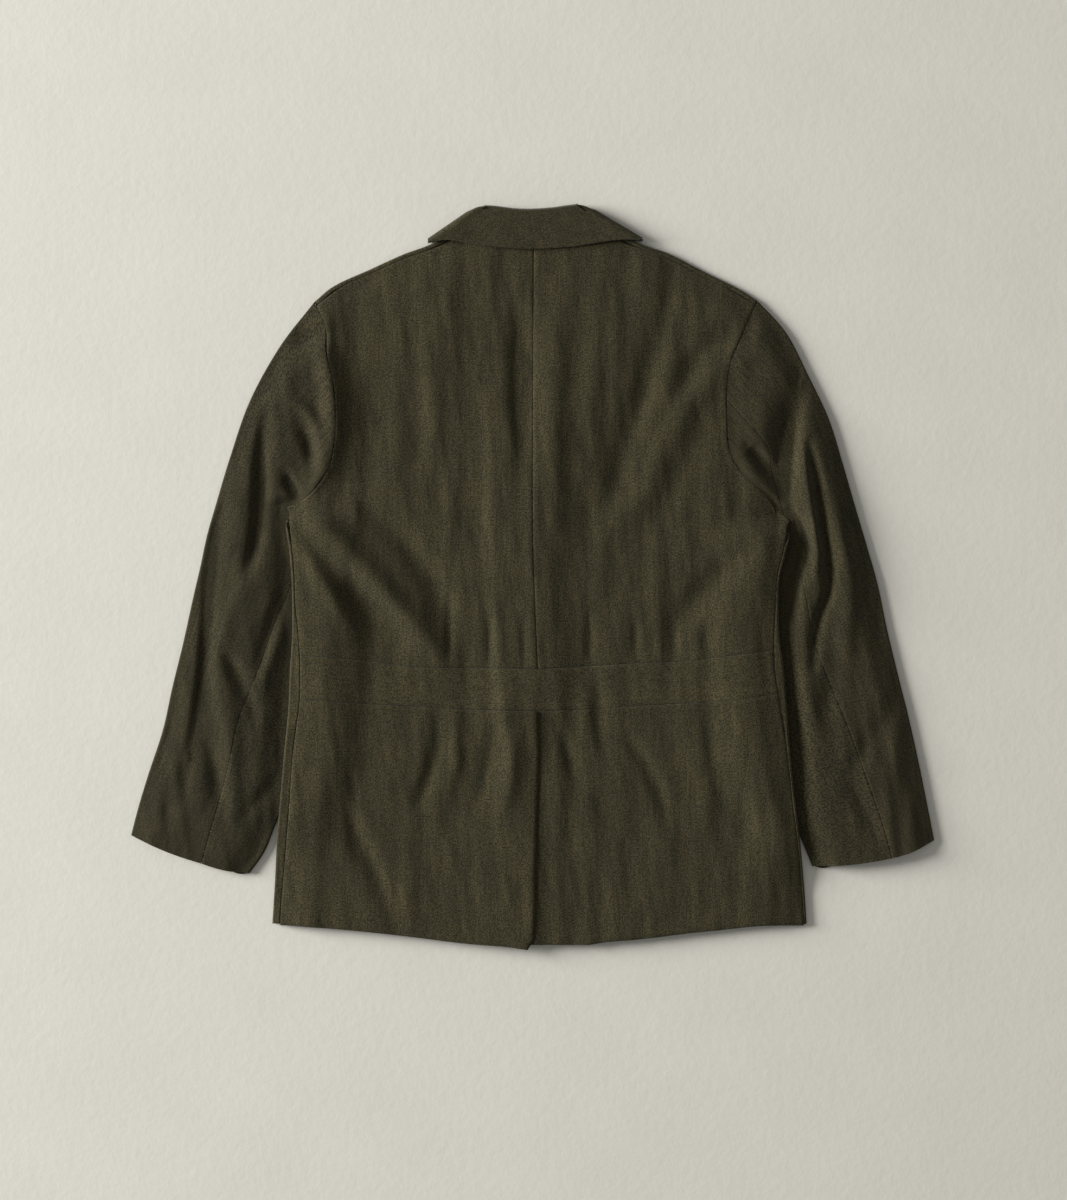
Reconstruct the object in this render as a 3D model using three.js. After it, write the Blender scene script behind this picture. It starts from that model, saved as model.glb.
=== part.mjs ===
// A tailored jacket in heavy twill, laid face down with its back up, in millimetres, +Z up.
// +X points to the wearer's right, +Y to the collar. The jacket rests on z = 0.
import * as THREE from 'three';

// Cloth and the way the layers lie on each other.
const CLOTH = 1.6;
const COLLAR_CLOTH = 2.4;
const SEAM_GAP = 0.7;
const REST_GAP = 0.5;
const LAYER_GAP = 1.3;
const EDGE_HEIGHT = 4.8;
const EDGE_RADIUS = EDGE_HEIGHT / 2;
const BODY_FILL = 1.8;
const EDGE_REACH = 30;
const SLEEVE_LIFT = EDGE_HEIGHT + 2 * REST_GAP;
const SLEEVE_REACH = 12;
const SLEEVE_RAMP = 26;
const SLEEVE_EXIT = { left: -264, right: -286 };
const SLEEVE_EXIT_RAMP = 66;
const SLEEVE_TOP = { left: 60, right: 54 };
const VENT_LIFT = CLOTH + REST_GAP;
const VENT_RAMP = 26;
const VENT_EASE = 4;
const ARMHOLE_BLEND = 26;
const SHOULDER_SEAM = 5;
const SHOULDER_END = 0.985;
const NECK_EASE = 2;
const NECK_EASE_SHARE = 0.45;
const HIDDEN_GAP = 3.2;
const HEM_EASE = 1.5;
const FOLD_FADE = 9;
const SLEEVE_FADE = 10;
const TOP_BLEND = 0.8;
const SLEEVE_BLEND = 0.6;

// Front closure.
const FRONT_LAP = 18;
const BUTTON_DIAMETER = 20;
const BUTTON_HEIGHT = 3;
const BUTTON_PITCH = 105;
const BUTTON_COUNT = 3;
const TOP_BUTTON_Y = 120;
const BUTTON_LIFT = BUTTON_HEIGHT + 0.3;
const BUTTON_STRIP = 16;
const BUTTON_RAMP = 45;
const BUTTON_REACH = 80;
const BUTTON_FADE = 50;
const LAP_RAMP = 26;
const LAP_TOP = 95;
const LAP_FADE = 60;
const NECK_DROP_Y = 190;

// Sections across the body from the armpits to the hem: its edges and its side seams.
const BODY_SECTIONS = [
  { y: 160, leftEdge: -330, leftSeam: -327, rightSeam: 332, rightEdge: 335 },
  { y: 110, leftEdge: -286, leftSeam: -283, rightSeam: 300, rightEdge: 303 },
  { y: 76, leftEdge: -271.2, leftSeam: -268.2, rightSeam: 284, rightEdge: 287 },
  { y: 60, leftEdge: -270, leftSeam: -267, rightSeam: 280, rightEdge: 283 },
  { y: 30, leftEdge: -267.5, leftSeam: -264, rightSeam: 275, rightEdge: 278 },
  { y: 0, leftEdge: -265, leftSeam: -261.5, rightSeam: 268, rightEdge: 271 },
  { y: -35, leftEdge: -264, leftSeam: -260.4, rightSeam: 266, rightEdge: 269.3 },
  { y: -65, leftEdge: -264.2, leftSeam: -256.8, rightSeam: 264.4, rightEdge: 270.3 },
  { y: -100, leftEdge: -266.5, leftSeam: -255.2, rightSeam: 265, rightEdge: 274.8 },
  { y: -135, leftEdge: -267.7, leftSeam: -255.8, rightSeam: 270.3, rightEdge: 278 },
  { y: -165, leftEdge: -270, leftSeam: -259.6, rightSeam: 275, rightEdge: 279.6 },
  { y: -200, leftEdge: -273.8, leftSeam: -264, rightSeam: 279.6, rightEdge: 282.8 },
  { y: -250, leftEdge: -277.8, leftSeam: -267.3, rightSeam: 285, rightEdge: 288 },
  { y: -300, leftEdge: -282, leftSeam: -271.5, rightSeam: 291.2, rightEdge: 294.2 },
  { y: -350, leftEdge: -284.5, leftSeam: -276, rightSeam: 295.9, rightEdge: 298.9 },
  { y: -420, leftEdge: -289, leftSeam: -280, rightSeam: 300, rightEdge: 303 },
];

// Seams and edges that cross the body: the hem and the two seams of the waist band.
const CROSS_SECTIONS = [
  { x: -300, bandTop: -83, bandBottom: -132, hem: -381.5 },
  { x: -255, bandTop: -85.8, bandBottom: -134.8, hem: -383.6 },
  { x: -190, bandTop: -91.3, bandBottom: -139, hem: -388.7 },
  { x: -130, bandTop: -98.4, bandBottom: -142.2, hem: -395.2 },
  { x: -80, bandTop: -99.8, bandBottom: -145, hem: -401.4 },
  { x: -30, bandTop: -100.2, bandBottom: -146.6, hem: -405.4 },
  { x: 5, bandTop: -101.2, bandBottom: -147.4, hem: -410 },
  { x: 20, bandTop: -100.4, bandBottom: -147, hem: -411 },
  { x: 75, bandTop: -97.2, bandBottom: -144.4, hem: -401.6 },
  { x: 120, bandTop: -94.5, bandBottom: -141.4, hem: -397.4 },
  { x: 172, bandTop: -92.3, bandBottom: -138.5, hem: -391 },
  { x: 206, bandTop: -88, bandBottom: -137.2, hem: -387.6 },
  { x: 250, bandTop: -82.6, bandBottom: -130.9, hem: -383.2 },
  { x: 310, bandTop: -76, bandBottom: -123, hem: -382.8 },
];
const RIGHT_VENT_HEM = -403.8;
const VENT_UNDERLAP = 42;

// Points down the centre back seam and, below the band, down the open edge of the vent.
const CENTRE_SEAM = [
  { x: 1.1, y: 372 },
  { x: 0, y: 195 },
  { x: 0, y: 60 },
  { x: 2.2, y: -25 },
  { x: 5.5, y: -101 },
];
const VENT_EDGE = [
  { x: 5, y: -147 },
  { x: 6, y: -201 },
  { x: 4.4, y: -245 },
  { x: 2.6, y: -325 },
  { x: 0.3, y: -395 },
  { x: -6, y: -410.3 },
];

// Neck and shoulders.
const BACK_NECK = { x: 1.1, y: 372 };
const SHOULDER_LINE = {
  left: [
    { x: -74, y: 384 }, { x: -100, y: 371.5 }, { x: -117, y: 363.5 }, { x: -141, y: 355 },
    { x: -178, y: 338.5 }, { x: -220, y: 319 }, { x: -240.2, y: 302.5 },
  ],
  right: [
    { x: 74, y: 386 }, { x: 100, y: 374 }, { x: 121, y: 365 }, { x: 149.6, y: 355 },
    { x: 185, y: 337 }, { x: 227.7, y: 315.7 }, { x: 247, y: 303.5 },
  ],
};

// Armhole seams, from the shoulder down to the armpit.
const ARMHOLE = {
  left: [
    { x: -240.2, y: 302.5 }, { x: -228.4, y: 279 }, { x: -227.5, y: 250 }, { x: -219.5, y: 215 },
    { x: -216.7, y: 165 }, { x: -219.5, y: 140 }, { x: -225.5, y: 116.6 }, { x: -240, y: 96 },
    { x: -256, y: 82.5 }, { x: -271.4, y: 76 },
  ],
  right: [
    { x: 247, y: 303.5 }, { x: 237.5, y: 283 }, { x: 227.5, y: 260 }, { x: 217.5, y: 237 },
    { x: 213, y: 205 }, { x: 214, y: 160 }, { x: 218.2, y: 129.8 }, { x: 230, y: 114 },
    { x: 256.3, y: 89.5 }, { x: 283, y: 61 },
  ],
};

// Sections across each sleeve, from the shoulder to the cuff. The seam is the elbow seam on top,
// or the armhole where that bounds the piece; fore is the forearm seam, on the underside.
const SLEEVE_SECTIONS = {
  left: [
    { outer: [-240.2, 302.5], seam: [-225.5, 116.6], inner: null, fore: [-225.5, 116.6] },
    { outer: [-277, 255], seam: [-240, 96], inner: null, fore: [-240, 96] },
    { outer: [-311, 194], seam: [-256, 82.5], inner: null, fore: [-256, 82.5] },
    { outer: [-333.5, 130], seam: [-271.6, 76], inner: null, fore: [-272, 74] },
    { outer: [-347, 85], seam: [-274, 50], inner: null, fore: [-277, 50] },
    { outer: [-358.5, 45], seam: [-266, 24], inner: [-256, 20], fore: [-279, 26] },
    { outer: [-365.5, 12], seam: [-265.5, -6], inner: [-250, -12], fore: [-272, -5] },
    { outer: [-373, -20], seam: [-282.7, -48.4], inner: [-246, -60], fore: [-268, -53] },
    { outer: [-384.4, -72], seam: [-301.4, -101.8], inner: [-245, -118], fore: [-267, -112] },
    { outer: [-396.6, -122], seam: [-322.3, -155.1], inner: [-248, -174], fore: [-270, -168] },
    { outer: [-406.8, -168], seam: [-332.8, -201.3], inner: [-258, -222], fore: [-280, -216] },
    { outer: [-423.5, -219], seam: [-347, -255], inner: [-279.5, -264], fore: [-301, -262] },
    { outer: [-434, -254], seam: [-356, -286], inner: [-295, -302], fore: [-316, -297] },
    { outer: [-441.7, -283.8], seam: [-364.1, -314.6], inner: [-311.3, -325.6], fore: [-332, -323] },
  ],
  right: [
    { outer: [247, 303.5], seam: [213, 195], inner: [218.2, 129.8], fore: [223, 141] },
    { outer: [278, 269], seam: [236, 171], inner: [230, 114], fore: [238, 122] },
    { outer: [302.5, 222], seam: [257, 149], inner: [250, 95.5], fore: [259, 104] },
    { outer: [325.6, 173], seam: [276, 117], inner: [270, 75], fore: [280, 84] },
    { outer: [340, 127], seam: [288, 84], inner: [284.5, 58], fore: [294, 62] },
    { outer: [353, 82], seam: [292, 52], inner: [281.5, 38], fore: [300, 43] },
    { outer: [366, 38], seam: [291.5, 18], inner: [271, 8], fore: [293, 13] },
    { outer: [379, -8], seam: [300.5, -27.5], inner: [261, -40], fore: [283, -35] },
    { outer: [389, -56], seam: [310, -75], inner: [255, -90], fore: [277, -85] },
    { outer: [401, -106], seam: [328, -122], inner: [254, -142], fore: [276, -138] },
    { outer: [413, -154], seam: [348, -171], inner: [259, -192], fore: [281, -188] },
    { outer: [425.4, -210], seam: [366.5, -222], inner: [274, -238], fore: [296, -234] },
    { outer: [435, -258], seam: [382.5, -268], inner: [292, -281], fore: [314, -278] },
    { outer: [441.1, -289.3], seam: [394.4, -308.6], inner: [306.9, -317.9], fore: [328, -317.5] },
  ],
};
const CUFF_BOW = 2.4;

// The largest folds of the upper layer: a path, its height (below zero for a valley) and its reach.
const FOLDS = [
  { path: [[-207, 300], [-214, 245], [-206, 190], [-208, 150], [-222, 118]], height: -2.2, reach: 11 },
  { path: [[-262, 50], [-232, 22], [-203, -18], [-184, -50], [-180, -84]], height: -2.6, reach: 13 },
  { path: [[-236, 68], [-198, 22], [-164, -22], [-140, -62], [-124, -92]], height: 3.2, reach: 14 },
  { path: [[-186, 76], [-160, 24], [-134, -18], [-114, -58], [-101, -86]], height: -2.2, reach: 12 },
  { path: [[-50, 185], [-48, 100], [-46, 0], [-40, -60], [-30, -150], [-22, -230]], height: 2.2, reach: 12 },
  { path: [[-24, 300], [-22, 210], [-20, 110]], height: -2.4, reach: 13 },
  { path: [[17, 310], [13, 160], [12, 60]], height: 2.0, reach: 14 },
  { path: [[60, 280], [54, 190], [48, 120]], height: 1.8, reach: 11 },
  { path: [[138, 298], [122, 235], [114, 192], [92, 158], [84, 110], [50, 50]], height: -2.6, reach: 10 },
  { path: [[146, 290], [138, 220], [136, 150], [124, 90], [104, 40]], height: 3.4, reach: 14 },
  { path: [[214, 275], [182, 246], [160, 212], [152, 196]], height: -2.2, reach: 11 },
  { path: [[200, 205], [166, 180], [150, 140]], height: 2.2, reach: 12 },
  { path: [[194, 186], [178, 158], [172, 122], [156, 86], [130, 42]], height: -2.2, reach: 11 },
  { path: [[248, 88], [206, 44], [188, 4], [158, -32], [138, -58]], height: -2.4, reach: 13 },
  { path: [[236, 62], [222, 20], [214, -40], [208, -100]], height: 2.4, reach: 22 },
  { path: [[60, -92], [71, -130], [72, -162], [79, -192]], height: -1.6, reach: 10 },
  { path: [[-216, -140], [-228, -172], [-246, -232], [-250, -310]], height: -1.8, reach: 12 },
  { path: [[-112, -158], [-111, -190], [-120, -224], [-128, -250]], height: -2.0, reach: 10 },
  { path: [[-206, -254], [-190, -290], [-174, -322], [-158, -368]], height: -2.0, reach: 11 },
  { path: [[126, -202], [138, -236], [150, -260]], height: -1.8, reach: 10 },
  { path: [[-288, 192], [-301, 150], [-311, 108], [-314, 60], [-320, 12]], height: -2.4, reach: 12 },
  { path: [[-252, 186], [-243, 156], [-242, 122], [-250, 94]], height: 2.8, reach: 9 },
  { path: [[-330, 60], [-340, -40], [-348, -110], [-350, -190]], height: 2.4, reach: 12 },
  { path: [[-349, 36], [-356, -40], [-364, -100], [-374, -165]], height: -2.2, reach: 10 },
  { path: [[-340, -116], [-318, -150]], height: -2.4, reach: 12 },
  { path: [[292, 184], [274, 148], [258, 108], [272, 84]], height: -2.6, reach: 12 },
  { path: [[330, 130], [338, 60], [346, -20]], height: 2.2, reach: 14 },
  { path: [[303, 142], [313, 96], [319, 40], [312, -30]], height: -2.2, reach: 9 },
  { path: [[342, -186], [359, -238], [380, -280]], height: -2.0, reach: 11 },
];

// The collar: its roll line, the edge of the fall, and the hidden ends that pass under the fronts.
const COLLAR_TOP = [{ x: -62, y: 408.5 }, { x: -45, y: 408 }, { x: -20, y: 405 }, { x: 0, y: 404.6 },
  { x: 20, y: 406 }, { x: 42, y: 409 }, { x: 57, y: 410 }];
const COLLAR_EDGE = [{ x: -117, y: 370 }, { x: -92, y: 369.5 }, { x: -60, y: 364.5 }, { x: -10, y: 360 },
  { x: 40, y: 362 }, { x: 92, y: 369.5 }, { x: 121, y: 372 }];
const COLLAR_END = {
  left: { roll: [-40, 318], edge: [-96, 298] },
  right: { roll: [36, 320], edge: [98, 300] },
};
const COLLAR_TOP_HEIGHT = 12.6;
const COLLAR_LIFT = { halfWidth: 119, foot: 262, ramp: 30 };

// The stand: its seam to the neck, and its upper edge inside the roll.
const STAND_FOOT = [{ x: -66, y: 385.5 }, { x: -40, y: 376 }, { x: 0, y: 373 }, { x: 40, y: 376 },
  { x: 66, y: 387 }];
const STAND_HEAD = [{ x: -50, y: 398 }, { x: 0, y: 398 }, { x: 48, y: 400 }];

const WOOL = new THREE.MeshStandardMaterial({ color: 0x3b382a, roughness: 0.95, metalness: 0 });
const HORN = new THREE.MeshStandardMaterial({ color: 0x2c2018, roughness: 0.45, metalness: 0 });

const mix = (a, b, t) => a + (b - a) * t;
const clamp01 = (t) => Math.min(1, Math.max(0, t));
const smooth = (t) => { const s = clamp01(t); return s * s * (3 - 2 * s); };
const softMax = (a, b, blend) => {
  const h = clamp01(0.5 + (0.5 * (a - b)) / blend);
  return mix(b, a, h) + blend * h * (1 - h) * 0.5;
};
const range = (count) => Array.from({ length: count + 1 }, (_, i) => i / count);
const onward = (count, start, share) => range(count).slice(1).map((t) => start + t * share);

// A smooth curve through rows of a table, read by its length from 0 to 1.
function curveThrough(points) {
  const curve = new THREE.CatmullRomCurve3(points.map((p) => new THREE.Vector3(p.x, p.y, 0)));
  return (t) => { const p = curve.getPointAt(clamp01(t)); return [p.x, p.y]; };
}

// One column of a table as a smooth function of another, with a monotone cubic between rows.
function columnOf(table, key, name) {
  const rows = table.filter((row) => row[name] !== null).map((row) => [row[key], row[name]]);
  rows.sort((a, b) => a[0] - b[0]);
  const slope = (i) => {
    const a = rows[Math.max(0, i - 1)];
    const b = rows[Math.min(rows.length - 1, i + 1)];
    return (b[1] - a[1]) / (b[0] - a[0]);
  };
  return (value) => {
    const at = Math.min(rows[rows.length - 1][0], Math.max(rows[0][0], value));
    let i = 0;
    while (i < rows.length - 2 && at > rows[i + 1][0]) i += 1;
    const [x0, y0] = rows[i];
    const [x1, y1] = rows[i + 1];
    const span = x1 - x0;
    const t = (at - x0) / span;
    const t2 = t * t;
    const t3 = t2 * t;
    return y0 * (2 * t3 - 3 * t2 + 1) + slope(i) * span * (t3 - 2 * t2 + t)
      + y1 * (3 * t2 - 2 * t3) + slope(i + 1) * span * (t3 - t2);
  };
}

// The distance from a point to a path, and how far along the path its nearest point is.
function nearest(path, x, y) {
  let best = { distance: Infinity, along: 0 };
  for (let i = 0; i < path.length - 1; i += 1) {
    const [ax, ay] = path[i];
    const [bx, by] = path[i + 1];
    const dx = bx - ax;
    const dy = by - ay;
    const t = clamp01(((x - ax) * dx + (y - ay) * dy) / (dx * dx + dy * dy));
    const distance = Math.hypot(x - ax - t * dx, y - ay - t * dy);
    if (distance < best.distance) best = { distance, along: (i + t) / (path.length - 1) };
  }
  return best;
}

// The height that the folds add at a point: each is a soft ridge or valley that runs out at its ends.
function folds(x, y) {
  let height = 0;
  for (const fold of FOLDS) {
    const { distance, along } = nearest(fold.path, x, y);
    if (distance > 3 * fold.reach) continue;
    const ends = Math.sin(Math.PI * mix(0.06, 0.94, along)) ** 0.7;
    height += fold.height * ends * Math.exp(-((distance / fold.reach) ** 2));
  }
  return height;
}

const pairs = (points) => points.map((p) => [p.x, p.y]);
const sideName = (x) => (x < 0 ? 'left' : 'right');
const signOf = { left: -1, right: 1 };
const bodyEdge = {
  left: columnOf(BODY_SECTIONS, 'y', 'leftEdge'),
  right: columnOf(BODY_SECTIONS, 'y', 'rightEdge'),
};
const sideSeam = {
  left: columnOf(BODY_SECTIONS, 'y', 'leftSeam'),
  right: columnOf(BODY_SECTIONS, 'y', 'rightSeam'),
};
const hemAt = columnOf(CROSS_SECTIONS, 'x', 'hem');
const bandTopAt = columnOf(CROSS_SECTIONS, 'x', 'bandTop');
const bandBottomAt = columnOf(CROSS_SECTIONS, 'x', 'bandBottom');
const seamXAt = columnOf(CENTRE_SEAM, 'y', 'x');
const ventXAt = columnOf(VENT_EDGE, 'y', 'x');
const armholePath = { left: pairs(ARMHOLE.left), right: pairs(ARMHOLE.right) };
const outlinePath = {};
const innerPath = {};
const innerEdge = {};
for (const side of ['left', 'right']) {
  const rows = SLEEVE_SECTIONS[side];
  outlinePath[side] = [...pairs(SHOULDER_LINE[side]), ...rows.slice(1).map((row) => row.outer)];
  innerPath[side] = rows.filter((row) => row.inner).map((row) => row.inner);
  const underBody = innerPath[side].filter(([, y]) => y < 61 && y > SLEEVE_EXIT[side] - 24);
  innerEdge[side] = columnOf(underBody.map(([x, y]) => ({ x, y })), 'y', 'x');
}

// How far the body's edge is lifted by the sleeve that lies under it.
function sleeveLift(x, y) {
  const side = sideName(x);
  const inward = Math.abs(innerEdge[side](y)) - SLEEVE_REACH - SLEEVE_RAMP;
  const above = smooth((y - SLEEVE_EXIT[side] + SLEEVE_EXIT_RAMP) / SLEEVE_EXIT_RAMP);
  return SLEEVE_LIFT * smooth((SLEEVE_TOP[side] - y) / SLEEVE_RAMP) * above
    * smooth((Math.abs(x) - inward) / SLEEVE_RAMP);
}

// How far the fronts are lifted off the surface: by the buttons, and by the collar's ends.
function buttonLift(x, y) {
  const foot = TOP_BUTTON_Y - (BUTTON_COUNT - 1) * BUTTON_PITCH;
  const along = smooth((TOP_BUTTON_Y + BUTTON_REACH - y) / BUTTON_FADE)
    * smooth((y - foot + BUTTON_REACH) / BUTTON_FADE);
  return BUTTON_LIFT * along * (1 - smooth((Math.abs(x) - BUTTON_STRIP) / BUTTON_RAMP));
}
function collarLift(x, y) {
  const away = Math.max(0, Math.abs(x) - COLLAR_LIFT.halfWidth);
  return (COLLAR_CLOTH + REST_GAP) * smooth((y - COLLAR_LIFT.foot) / COLLAR_LIFT.ramp)
    * (1 - smooth(away / COLLAR_LIFT.ramp));
}
const frontBase = (x, y) => sleeveLift(x, y) + buttonLift(x, y) + collarLift(x, y);
const lapLift = (x, y) => (CLOTH + SEAM_GAP) * (1 - smooth((Math.abs(x) - FRONT_LAP - 2) / LAP_RAMP))
  * smooth((NECK_DROP_Y + LAP_TOP - y) / LAP_FADE);

// How far inside the body's edge, or inside the shoulder and sleeve outline, a point lies.
const insideBodyEdge = (x, y) => Math.abs(bodyEdge[sideName(x)](y)) - Math.abs(x);
const insideOutline = (x, y) => nearest(outlinePath[sideName(x)], x, y).distance;

// The top of the body's upper layer.
function bodyTop(x, y) {
  const side = Math.max(0, insideBodyEdge(x, y));
  const edge = Math.min(side, insideOutline(x, y));
  const lap = lapLift(x, y);
  const base = frontBase(x, y) + EDGE_HEIGHT + BODY_FILL * smooth(edge / EDGE_REACH) + lap * 0.5;
  const lowest = frontBase(x, y) + lap + 2 * CLOTH + LAYER_GAP;
  return softMax(base + folds(x, y) * smooth(edge / FOLD_FADE), lowest, TOP_BLEND);
}

// The top of a sleeve: at the armhole it meets the body, and where the body lies on it, it is flat.
function sleeveTop(x, y) {
  const side = sideName(x);
  const clear = Math.max(0, -insideBodyEdge(x, y));
  const edge = Math.min(insideOutline(x, y), nearest(innerPath[side], x, y).distance);
  const own = EDGE_HEIGHT + BODY_FILL * smooth(Math.min(edge, clear) / EDGE_REACH)
    + folds(x, y) * smooth(clear / SLEEVE_FADE) * smooth(edge / FOLD_FADE);
  const armhole = nearest(armholePath[side], x, y).distance;
  const lifted = bodyTop(x, y) - sleeveLift(x, y);
  const height = mix(lifted, own, smooth(armhole / ARMHOLE_BLEND));
  return softMax(height, 2 * CLOTH + REST_GAP, SLEEVE_BLEND);
}

// A wall of cloth: the outer face is the given surface, the inner one lies a thickness inside it,
// and the four edges are closed. Grids are rows of parameters from 0 to 1.
function wall(pointAt, columns, rows, thickness, facing) {
  const step = 1e-3;
  const normalAt = (u, v) => {
    const du = pointAt(Math.min(1, u + step), v).sub(pointAt(Math.max(0, u - step), v));
    const dv = pointAt(u, Math.min(1, v + step)).sub(pointAt(u, Math.max(0, v - step)));
    return du.cross(dv).normalize().multiplyScalar(facing);
  };
  const outer = [];
  const inner = [];
  for (const v of rows) {
    for (const u of columns) {
      const point = pointAt(u, v);
      outer.push(point);
      inner.push(point.clone().addScaledVector(normalAt(u, v), -thickness));
    }
  }
  const width = columns.length;
  const last = rows.length - 1;
  const total = outer.length;
  const index = [];
  const quad = (a, b, c, d) => (facing > 0 ? index.push(a, b, c, a, c, d) : index.push(a, c, b, a, d, c));
  for (let j = 0; j < last; j += 1) {
    for (let i = 0; i < width - 1; i += 1) {
      const a = j * width + i;
      quad(a, a + 1, a + width + 1, a + width);
      quad(total + a, total + a + width, total + a + width + 1, total + a + 1);
    }
  }
  for (let i = 0; i < width - 1; i += 1) {
    const top = last * width + i;
    quad(i, total + i, total + i + 1, i + 1);
    quad(top, top + 1, total + top + 1, total + top);
  }
  for (let j = 0; j < last; j += 1) {
    const a = j * width;
    const b = a + width - 1;
    quad(a, a + width, total + a + width, total + a);
    quad(b, total + b, total + b + width, b + width);
  }
  const geometry = new THREE.BufferGeometry();
  geometry.setAttribute('position', new THREE.Float32BufferAttribute(
    [...outer, ...inner].flatMap((p) => [p.x, p.y, p.z]), 3));
  geometry.setIndex(index);
  return geometry;
}

// A patch of cloth between four edges, given in plan, with its height from a function.
function patch(foot, head, start, end, height) {
  const corner = [foot(0), foot(1), head(0), head(1)];
  return (u, v) => {
    const [f, h, s, e] = [foot(u), head(u), start(v), end(v)];
    const plan = [0, 1].map((k) => mix(f[k], h[k], v) + mix(s[k], e[k], u)
      - mix(mix(corner[0][k], corner[1][k], u), mix(corner[2][k], corner[3][k], u), v));
    return new THREE.Vector3(plan[0], plan[1], height(plan[0], plan[1]));
  };
}

const jacket = new THREE.Group();
function add(name, geometry, material) {
  geometry.computeVertexNormals();
  const mesh = new THREE.Mesh(geometry, material);
  mesh.name = name;
  jacket.add(mesh);
}
const alongY = (xAt, y0, y1, shift = 0) => (t) => { const y = mix(y0, y1, t); return [xAt(y) + shift, y]; };
const HALF_GAP = SEAM_GAP / 2;
const CURVE_GAP = 0.2;

// Grid stations, closer together where a panel rises over the sleeve at its side.
const BACK_COLUMNS = [0, 0.03, 0.065, 0.1, 0.135, 0.17, 0.21, 0.28, 0.38, 0.52, 0.68, 0.84, 1];
const FRONT_COLUMNS = [0, 0.07, 0.15, 0.3, 0.52, 0.7, 0.78, 0.82, 0.86, 0.895, 0.93, 0.965, 1];
const FRONT_ROWS = [0, 0.05, 0.09, 0.13, 0.17, 0.22, 0.3, 0.38, 0.44, 0.49, 0.53, 0.565,
  0.6, 0.63, 0.66, 0.7, 0.745, 0.79, 0.84, 0.89, 0.94, 0.97, 1];

// Moves a curve sideways, to its left where the distance is positive.
function shifted(curve, distance) {
  const step = 0.004;
  return (t) => {
    const [ax, ay] = curve(Math.max(0, t - step));
    const [bx, by] = curve(Math.min(1, t + step));
    const length = Math.hypot(bx - ax, by - ay) || 1;
    const [x, y] = curve(t);
    return [x - ((by - ay) / length) * distance, y + ((bx - ax) / length) * distance];
  };
}

// The stretch of a curve between the points nearest to two given ones.
function stretch(curve, from, to) {
  const places = range(400);
  const at = (point) => places.reduce((best, t) => {
    const [x, y] = curve(t);
    const distance = Math.hypot(x - point[0], y - point[1]);
    return distance < best.distance ? { distance, t } : best;
  }, { distance: Infinity, t: 0 }).t;
  const [a, b] = [at(from), at(to)];
  return (s) => curve(mix(a, b, s));
}

const armhole = { left: curveThrough(ARMHOLE.left), right: curveThrough(ARMHOLE.right) };
const shoulderLine = { left: curveThrough(SHOULDER_LINE.left), right: curveThrough(SHOULDER_LINE.right) };
const toXY = ([x, y]) => ({ x, y });

// The upper back: from the waist band to the neck and shoulder seams, and from the centre seam to
// the side seam and the armhole.
function backUpper(side) {
  const sign = signOf[side];
  const sideAt = (y) => [sideSeam[side](y) - sign * HALF_GAP, y];
  const armpit = ARMHOLE[side][ARMHOLE[side].length - 1];
  const footY = bandTopAt(sideSeam[side](-85)) + HALF_GAP;
  const seamLine = shifted(shoulderLine[side], -sign * (SHOULDER_SEAM + HALF_GAP + 0.2));
  const shoulder = (t) => {
    const [x, y] = seamLine(t);
    return [x, y - NECK_EASE * (1 - smooth(t / NECK_EASE_SHARE))];
  };
  const holeSeam = stretch(armhole[side], shoulder(1), armholePath[side].at(-2));
  const hole = shifted(holeSeam, -sign * (SEAM_GAP + 2 * CURVE_GAP));
  const outer = curveThrough([
    ...[footY, -60, -30, 0, 30, armpit.y - 10].map((y) => toXY(sideAt(y))),
    ...[0.98, 0.88, 0.76, 0.64, 0.5, 0.36, 0.22, 0.1, 0].map((t) => toXY(hole(t))),
  ]);
  const centreX = (y) => seamXAt(y) + sign * HALF_GAP;
  const centre = (t) => { const y = mix(bandTopAt(0) + HALF_GAP, BACK_NECK.y, t); return [centreX(y), y]; };
  const foot = (t) => {
    const x = mix(outer(0)[0], centre(0)[0], t);
    return [x, bandTopAt(x) + HALF_GAP];
  };
  const head = curveThrough([
    toXY(outer(1)), ...[0.8, 0.6, 0.4, 0.2, 0.04].map((t) => toXY(shoulder(t))),
    { x: centre(1)[0] + sign * 38, y: BACK_NECK.y + 2 }, toXY(centre(1)),
  ]);
  const surface = patch(foot, head, outer, centre, bodyTop);
  add(`back_upper_${side}`, wall(surface, BACK_COLUMNS, range(22), CLOTH, -sign), WOOL);
}

// The waist band: one curved strip from side seam to side seam.
function waistBand() {
  const startX = sideSeam.left(-110) + HALF_GAP;
  const endX = sideSeam.right(-110) - HALF_GAP;
  const foot = (t) => { const x = mix(startX, endX, t); return [x, bandBottomAt(x) + HALF_GAP]; };
  const head = (t) => { const x = mix(startX, endX, t); return [x, bandTopAt(x) - HALF_GAP]; };
  const edge = (seam, shift, x) => (t) => {
    const y = mix(bandBottomAt(x) + HALF_GAP, bandTopAt(x) - HALF_GAP, t);
    return [seam(y) + shift, y];
  };
  const start = edge(sideSeam.left, HALF_GAP, startX);
  const end = edge(sideSeam.right, -HALF_GAP, endX);
  const surface = patch(foot, head, start, end, bodyTop);
  add('waist_band', wall(surface, range(24), range(2), CLOTH, 1), WOOL);
}

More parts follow.
